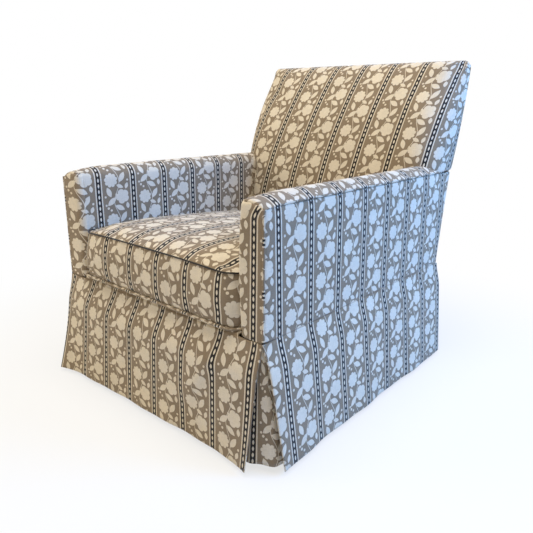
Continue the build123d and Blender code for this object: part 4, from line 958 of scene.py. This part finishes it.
def makeRailWadding():
    s, t = np.meshgrid(np.linspace(-1, 1, 61), np.linspace(0, 1, 25), indexing="ij")
    x, z = wad["half"] * s, wad["bottom"] + (wad["top"] - wad["bottom"]) * t
    swell = np.sqrt(np.clip(1 - (2 * t - 1) ** 2, 0, 1)) * (1 - np.abs(s) ** 20)
    outer = np.dstack([x, wad["rail"] - 1 + (wad["front"] - wad["rail"] + 1) * swell, z])
    inner = np.dstack([x, np.full(x.shape, float(wad["rail"])), z])
    upholster("rail_wadding", "front_rail_pad", outer, inner, np.dstack([x, z]), 0.4, slot="wadding")


# dust cloth stapled under the frame, slack between the staples and the swivel plate
dust = {
    "half": 369, "front": -444, "rear": 374.7, "level": 148.6, "cloth": 1.0,
    "slack": 5, "slackFrom": 16, "slackFade": 120, "plateFade": 90,
    "pucker": 0.8, "puckerTurns": (0.09, 0.07), "puckerFrom": 10, "puckerFade": 60,
    "plate": 112, "hole": 30,  # half sizes of the swivel plate and of the opening for its bolt
}


def makeDustCloth():
    x = np.linspace(-dust["half"], dust["half"], 63)
    y = np.linspace(dust["front"], dust["rear"], 71)
    x, y = np.meshgrid(x, y, indexing="ij")
    inside = np.minimum(dust["half"] - np.abs(x), np.minimum(y - dust["front"], dust["rear"] - y))
    clear = np.maximum(np.abs(x), np.abs(y)) - dust["plate"]
    low = dust["slack"] * smooth((inside - dust["slackFrom"]) / dust["slackFade"])
    low = low * smooth(clear / dust["plateFade"])
    across, along = dust["puckerTurns"]
    pucker = dust["pucker"] * np.sin(x * across) * np.sin(y * along + 1)
    pucker = pucker * smooth((inside - dust["puckerFrom"]) / dust["puckerFade"])
    pucker = pucker * smooth(clear / dust["puckerFade"])
    upper = np.dstack([x, y, dust["level"] - low + np.minimum(pucker, 0)])
    lower = upper - (0, 0, dust["cloth"])
    obj = shell("dust_cloth", lower, upper, np.dstack([x, y]), finish["black cambric"])
    obj.data.attributes.remove(obj.data.attributes["held"])
    bm = bmesh.new()
    bm.from_mesh(obj.data)
    hole = []
    for face in bm.faces:
        spot = face.calc_center_median()
        if max(abs(spot.x), abs(spot.y)) < dust["hole"] * mm:
            hole.append(face)
    bmesh.ops.delete(bm, geom=hole, context="FACES")
    rims = [e for e in bm.edges if e.is_boundary]
    bmesh.ops.bridge_loops(bm, edges=rims)
    bmesh.ops.recalc_face_normals(bm, faces=bm.faces)
    bm.to_mesh(obj.data)
    bm.free()
    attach(obj, "chair")
    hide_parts("dust_cover")


makeLip()
makeDeck()
makeRailWadding()
makeDustCloth()
print("lip, deck, wadding and dust cloth made")


def newTree(name, inputs):
    # a modifier's tree with named inputs; also gives their identifiers
    tree = bpy.data.node_groups.new(name, "GeometryNodeTree")
    tree.is_modifier = True
    sockets = {}
    for label, kind in inputs.items():
        socket = tree.interface.new_socket(label, in_out="INPUT", socket_type="NodeSocket" + kind)
        sockets[label] = socket.identifier
    tree.interface.new_socket("Geometry", in_out="OUTPUT", socket_type="NodeSocketGeometry")
    return tree, sockets


def closeTree(tree, geometry, material):
    solid = addNode(tree, "GeometryNodeRealizeInstances", {0: geometry})[0]
    dressed = addNode(tree, "GeometryNodeSetMaterial", {"Geometry": solid, "Material": material})[0]
    addNode(tree, "NodeGroupOutput", {0: dressed})


# welts: cord in cloth cut across the stripe, or along its dark band, swept along a seam; the top cord lies on
# the dark band, which is painted shade along the cushion's top seam
weltInputs = {
    "Geometry": "Geometry", "Cord Radius": "Float", "Pattern Shift": "Float", "Cut Along": "Bool",
    "Finish": "Material",
}
weltTree, weltIn = newTree("welt", weltInputs)
given = addNode(weltTree, "NodeGroupInput")
path = addNode(weltTree, "GeometryNodeMeshToCurve", {0: given["Geometry"]})[0]
ring = {"Resolution": 12, "Radius": given["Cord Radius"]}
ring = addNode(weltTree, "GeometryNodeCurvePrimitiveCircle", ring)[0]
lengths = []
for label, line in (("along", path), ("around", ring)):
    capture = addNode(weltTree, "GeometryNodeCaptureAttribute", {0: line})[0].node
    capture.capture_items.new("FLOAT", label)
    weltTree.links.new(addNode(weltTree, "GeometryNodeSplineParameter")["Length"], capture.inputs[1])
    lengths.append(capture.outputs)
along, around = lengths
swept = {"Curve": along[0], "Profile Curve": around[0], "Fill Caps": True}
swept = addNode(weltTree, "GeometryNodeCurveToMesh", swept)[0]
shifted = {0: along[1], 1: given["Pattern Shift"]}
shifted = addNode(weltTree, "ShaderNodeMath", shifted, operation="ADD")[0]
crossCut = addNode(weltTree, "ShaderNodeCombineXYZ", {0: shifted, 1: around[1]})[0]
longCut = {0: around[1], 1: 0.1, 2: given["Pattern Shift"]}
longCut = addNode(weltTree, "ShaderNodeMath", longCut, operation="MULTIPLY_ADD")[0]
longCut = addNode(weltTree, "ShaderNodeCombineXYZ", {0: longCut, 1: along[1]})[0]
cut = {"Switch": given["Cut Along"], "False": crossCut, "True": longCut}
cut = addNode(weltTree, "GeometryNodeSwitch", cut, input_type="VECTOR")[0]
mapped = {"Geometry": swept, "Name": "cloth", "Value": cut}
mapped = addNode(weltTree, "GeometryNodeStoreNamedAttribute", mapped, data_type="FLOAT2", domain="CORNER")[0]
rounded = addNode(weltTree, "GeometryNodeSetShadeSmooth", {0: mapped})[0]
closeTree(weltTree, rounded, given["Finish"])

# bars set crosswise at one pitch along a path: zip teeth and staples
barInputs = {"Geometry": "Geometry", "Bar Size": "Vector", "Pitch": "Float", "Finish": "Material"}
barTree, barIn = newTree("bars along a path", barInputs)
given = addNode(barTree, "NodeGroupInput")
path = addNode(barTree, "GeometryNodeMeshToCurve", {0: given["Geometry"]})[0]
spots = {"Curve": path, "Length": given["Pitch"]}
spots = addNode(barTree, "GeometryNodeCurveToPoints", spots, mode="LENGTH")
bar = addNode(barTree, "GeometryNodeMeshCube", {"Size": given["Bar Size"]})[0]
placed = {"Points": spots["Points"], "Instance": bar, "Rotation": spots["Rotation"]}
placed = addNode(barTree, "GeometryNodeInstanceOnPoints", placed)[0]
closeTree(barTree, placed, given["Finish"])


def follow(name, points, closed, tree, inputs, settings, body):
    # runs a node tree along a path and keeps the result as a plain mesh
    path = bpy.data.meshes.new(name)
    n = len(points)
    links = [(i, i + 1) for i in range(n - 1)] + ([(n - 1, 0)] if closed else [])
    path.from_pydata((np.asarray(points) * mm).tolist(), links, [])
    obj = bpy.data.objects.new(name, path)
    scene.collection.objects.link(obj)
    modifier = obj.modifiers.new("along", "NODES")
    modifier.node_group = tree
    for label, value in settings.items():
        modifier[inputs[label]] = value
    bpy.context.view_layer.update()
    made = bpy.data.meshes.new_from_object(obj.evaluated_get(bpy.context.evaluated_depsgraph_get()))
    obj.modifiers.clear()
    obj.data = made
    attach(obj, body)
    return obj


# cord radius and where the stripe is cut for each welt; the top cord's cut on the dark band is painted shade,
# not a dark cloth
welts = {
    # top: cut along the dark band so that the cord shows dark all along, painted shade under the cushion's
    # top edge
    "top": (1.9, 4.2, True), "bottom": (3.7, 8, False), "arm": (3.3, 48, False),
    "armIn": 1.6, "armBack": 3.4,  # the arm's welt lies in from its corner by this much
}


def welt(name, points, closed, kind, body):
    radius, shift, cutAlong = welts[kind]
    settings = {
        "Cord Radius": radius * mm, "Pattern Shift": shift * mm, "Cut Along": cutAlong, "Finish": linenCloth,
    }
    return follow(name, points, closed, weltTree, weltIn, settings, body)


for place, seam in (("top", cushionTopSeam), ("bottom", cushionBottomSeam)):
    cord = welt(f"cushion_{place}_cord", seam, True, place, "cushion")
    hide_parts(f"cushion_{place}_welt")
for side, sign in (("left", -1), ("right", 1)):
    z = np.linspace(arm["facingTop"] - arm["facingDrop"] + 2, chair["seam"] - 1, 60)
    x, y = sign * (chair["armHalf"] - welts["armIn"]), chair["frontPlane"] + welts["armBack"]
    line = np.column_stack([0 * z + x, 0 * z + y, z])
    welt(f"{side}_arm_front_cord", line, False, "arm", "chair")

# zip teeth along the middle of the tape, staples along the edge of the dust cloth
zipBar = {"size": (1.0, 4.2, 1.2), "pitch": 1.7, "proud": 0.4, "end": 4}
staple = {"size": (0.7, 10, 1.1), "pitch": 46, "inset": 9, "proud": 0.3}


def bars(name, points, closed, kind, slot, body):
    settings = {
        "Bar Size": tuple(s * mm for s in kind["size"]), "Pitch": kind["pitch"] * mm,
        "Finish": finish[slotFinish[slot]],
    }
    follow(name, points, closed, barTree, barIn, settings, body)


zipLow, zipHigh = (np.array(corner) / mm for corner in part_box("cushion_zip"))
zipX = np.linspace(zipLow[0] + zipBar["end"], zipHigh[0] - zipBar["end"], 40)
zipLine = [(x, zipHigh[1] + zipBar["proud"], (zipLow[2] + zipHigh[2]) / 2) for x in zipX]
bars("zip_teeth", zipLine, False, zipBar, "black_nylon", "cushion")
reach, level = dust["half"] - staple["inset"], dust["level"] - dust["cloth"] - staple["proud"]
near, far = dust["front"] + staple["inset"], dust["rear"] - staple["inset"]
edge = [(-reach, near, level), (reach, near, level), (reach, far, level), (-reach, far, level)]
bars("dust_cloth_staples", edge, True, staple, "zinc_steel", "chair")
print("welts, zip teeth and staples made")


def seenRays(tree):
    # what the camera sees straight on, in metal or through glass
    rays = addNode(tree, "ShaderNodeLightPath")
    seen = rays["Is Camera Ray"]
    for kind in ("Is Glossy Ray", "Is Transmission Ray"):
        seen = addNode(tree, "ShaderNodeMath", {0: seen, 1: rays[kind]}, operation="MAXIMUM")[0]
    return seen


# plain pale floor, white to the camera, with the chair's shadow on it, m
paperFloor = {"half": 8, "color": "#ebebe9", "nearWhite": 0.7, "fadeFrom": 0.55, "fadeTo": 1.5}
reach = paperFloor["half"]
floorMesh = bpy.data.meshes.new("floor")
corners = [(-reach, -reach, 0), (reach, -reach, 0), (reach, reach, 0), (-reach, reach, 0)]
floorMesh.from_pydata(corners, [], [(0, 1, 2, 3)])
floor = bpy.data.objects.new("floor", floorMesh)
scene.collection.objects.link(floor)
floorMat, tree = newMaterial("matt white studio paper")
paper = addNode(tree, "ShaderNodeBsdfDiffuse", {0: hexColor(paperFloor["color"])})[0]
white = addNode(tree, "ShaderNodeEmission", {0: (1, 1, 1, 1), 1: 1.0})[0]
spot = addNode(tree, "ShaderNodeTexCoord")["Object"]
away = addNode(tree, "ShaderNodeVectorMath", {0: spot}, operation="LENGTH")["Value"]
# less white near the chair, so that its shadow shows
fade = {0: away, 1: paperFloor["fadeFrom"], 2: paperFloor["fadeTo"], 3: paperFloor["nearWhite"], 4: 1.0}
fade = addNode(tree, "ShaderNodeMapRange", fade, interpolation_type="SMOOTHSTEP")[0]
share = addNode(tree, "ShaderNodeMath", {0: seenRays(tree), 1: fade}, operation="MULTIPLY")[0]
lifted = addNode(tree, "ShaderNodeMixShader", {0: share, 1: paper, 2: white})[0]
addNode(tree, "ShaderNodeOutputMaterial", {0: lifted})
floorMesh.materials.append(floorMat)

# warm dome all round, seen as white
studio = {"dome": (1.0, 0.89, 0.72, 1), "power": 0.36}
world = bpy.data.worlds.new("studio")
scene.world = world
world.use_nodes = True
sky = world.node_tree
sky.nodes.clear()
dome = addNode(sky, "ShaderNodeBackground", {0: studio["dome"], 1: studio["power"]})[0]
backdrop = addNode(sky, "ShaderNodeBackground", {0: (1, 1, 1, 1), 1: 1.0})[0]
both = addNode(sky, "ShaderNodeMixShader", {0: seenRays(sky), 1: dome, 2: backdrop})[0]
addNode(sky, "ShaderNodeOutputWorld", {0: both})

# soft light from above and in front, a large cool window behind on the right
lamps = {
    "front softbox": {"place": (-2.2, -2.6, 1.6), "size": 1.6, "power": 34, "color": (1.0, 0.86, 0.64)},
    "window": {"place": (2.6, 1.3, 2.0), "size": 1.8, "power": 150, "color": (0.08, 0.37, 1.0)},
    "overhead": {"place": (0.3, -0.5, 3.4), "size": 2.0, "power": 76, "color": (1.0, 0.95, 0.85)},
}
aim = Vector((0, 0, 0.45))
for name, lamp in lamps.items():
    light = bpy.data.lights.new(name, "AREA")
    light.shape = "DISK"
    light.size, light.energy, light.color = lamp["size"], lamp["power"], lamp["color"]
    obj = bpy.data.objects.new(name, light)
    obj.location = lamp["place"]
    obj.rotation_mode = "QUATERNION"
    obj.rotation_quaternion = (aim - Vector(lamp["place"])).to_track_quat("-Z", "Y")
    scene.collection.objects.link(obj)

# camera at the photograph's viewpoint; focal length in pixels of a 533 pixel frame
camera = {
    "place": (1.0891, -1.2596, 0.8130), "azimuth": 41.0, "pitch": 16.58, "roll": 0.43,
    "focal": 544.2, "frame": 533, "sensor": 36,
}
azimuth, pitch, roll = (math.radians(camera[k]) for k in ("azimuth", "pitch", "roll"))
flatShare = math.cos(pitch)
backward = Vector((math.sin(azimuth) * flatShare, -math.cos(azimuth) * flatShare, math.sin(pitch)))
right = Vector((math.cos(azimuth), math.sin(azimuth), 0))
up = right.cross(-backward)
right, up = math.cos(roll) * right + math.sin(roll) * up, math.cos(roll) * up - math.sin(roll) * right
lens = bpy.data.cameras.new("camera")
lens.sensor_width = camera["sensor"]
lens.lens = camera["sensor"] * camera["focal"] / camera["frame"]
cam = bpy.data.objects.new("camera", lens)
cam.matrix_world = Matrix.Translation(camera["place"]) @ Matrix((right, up, backward)).transposed().to_4x4()
scene.collection.objects.link(cam)
scene.camera = cam
scene.view_settings.view_transform = "Standard"

bpy.context.view_layer.update()
print("scene ready")
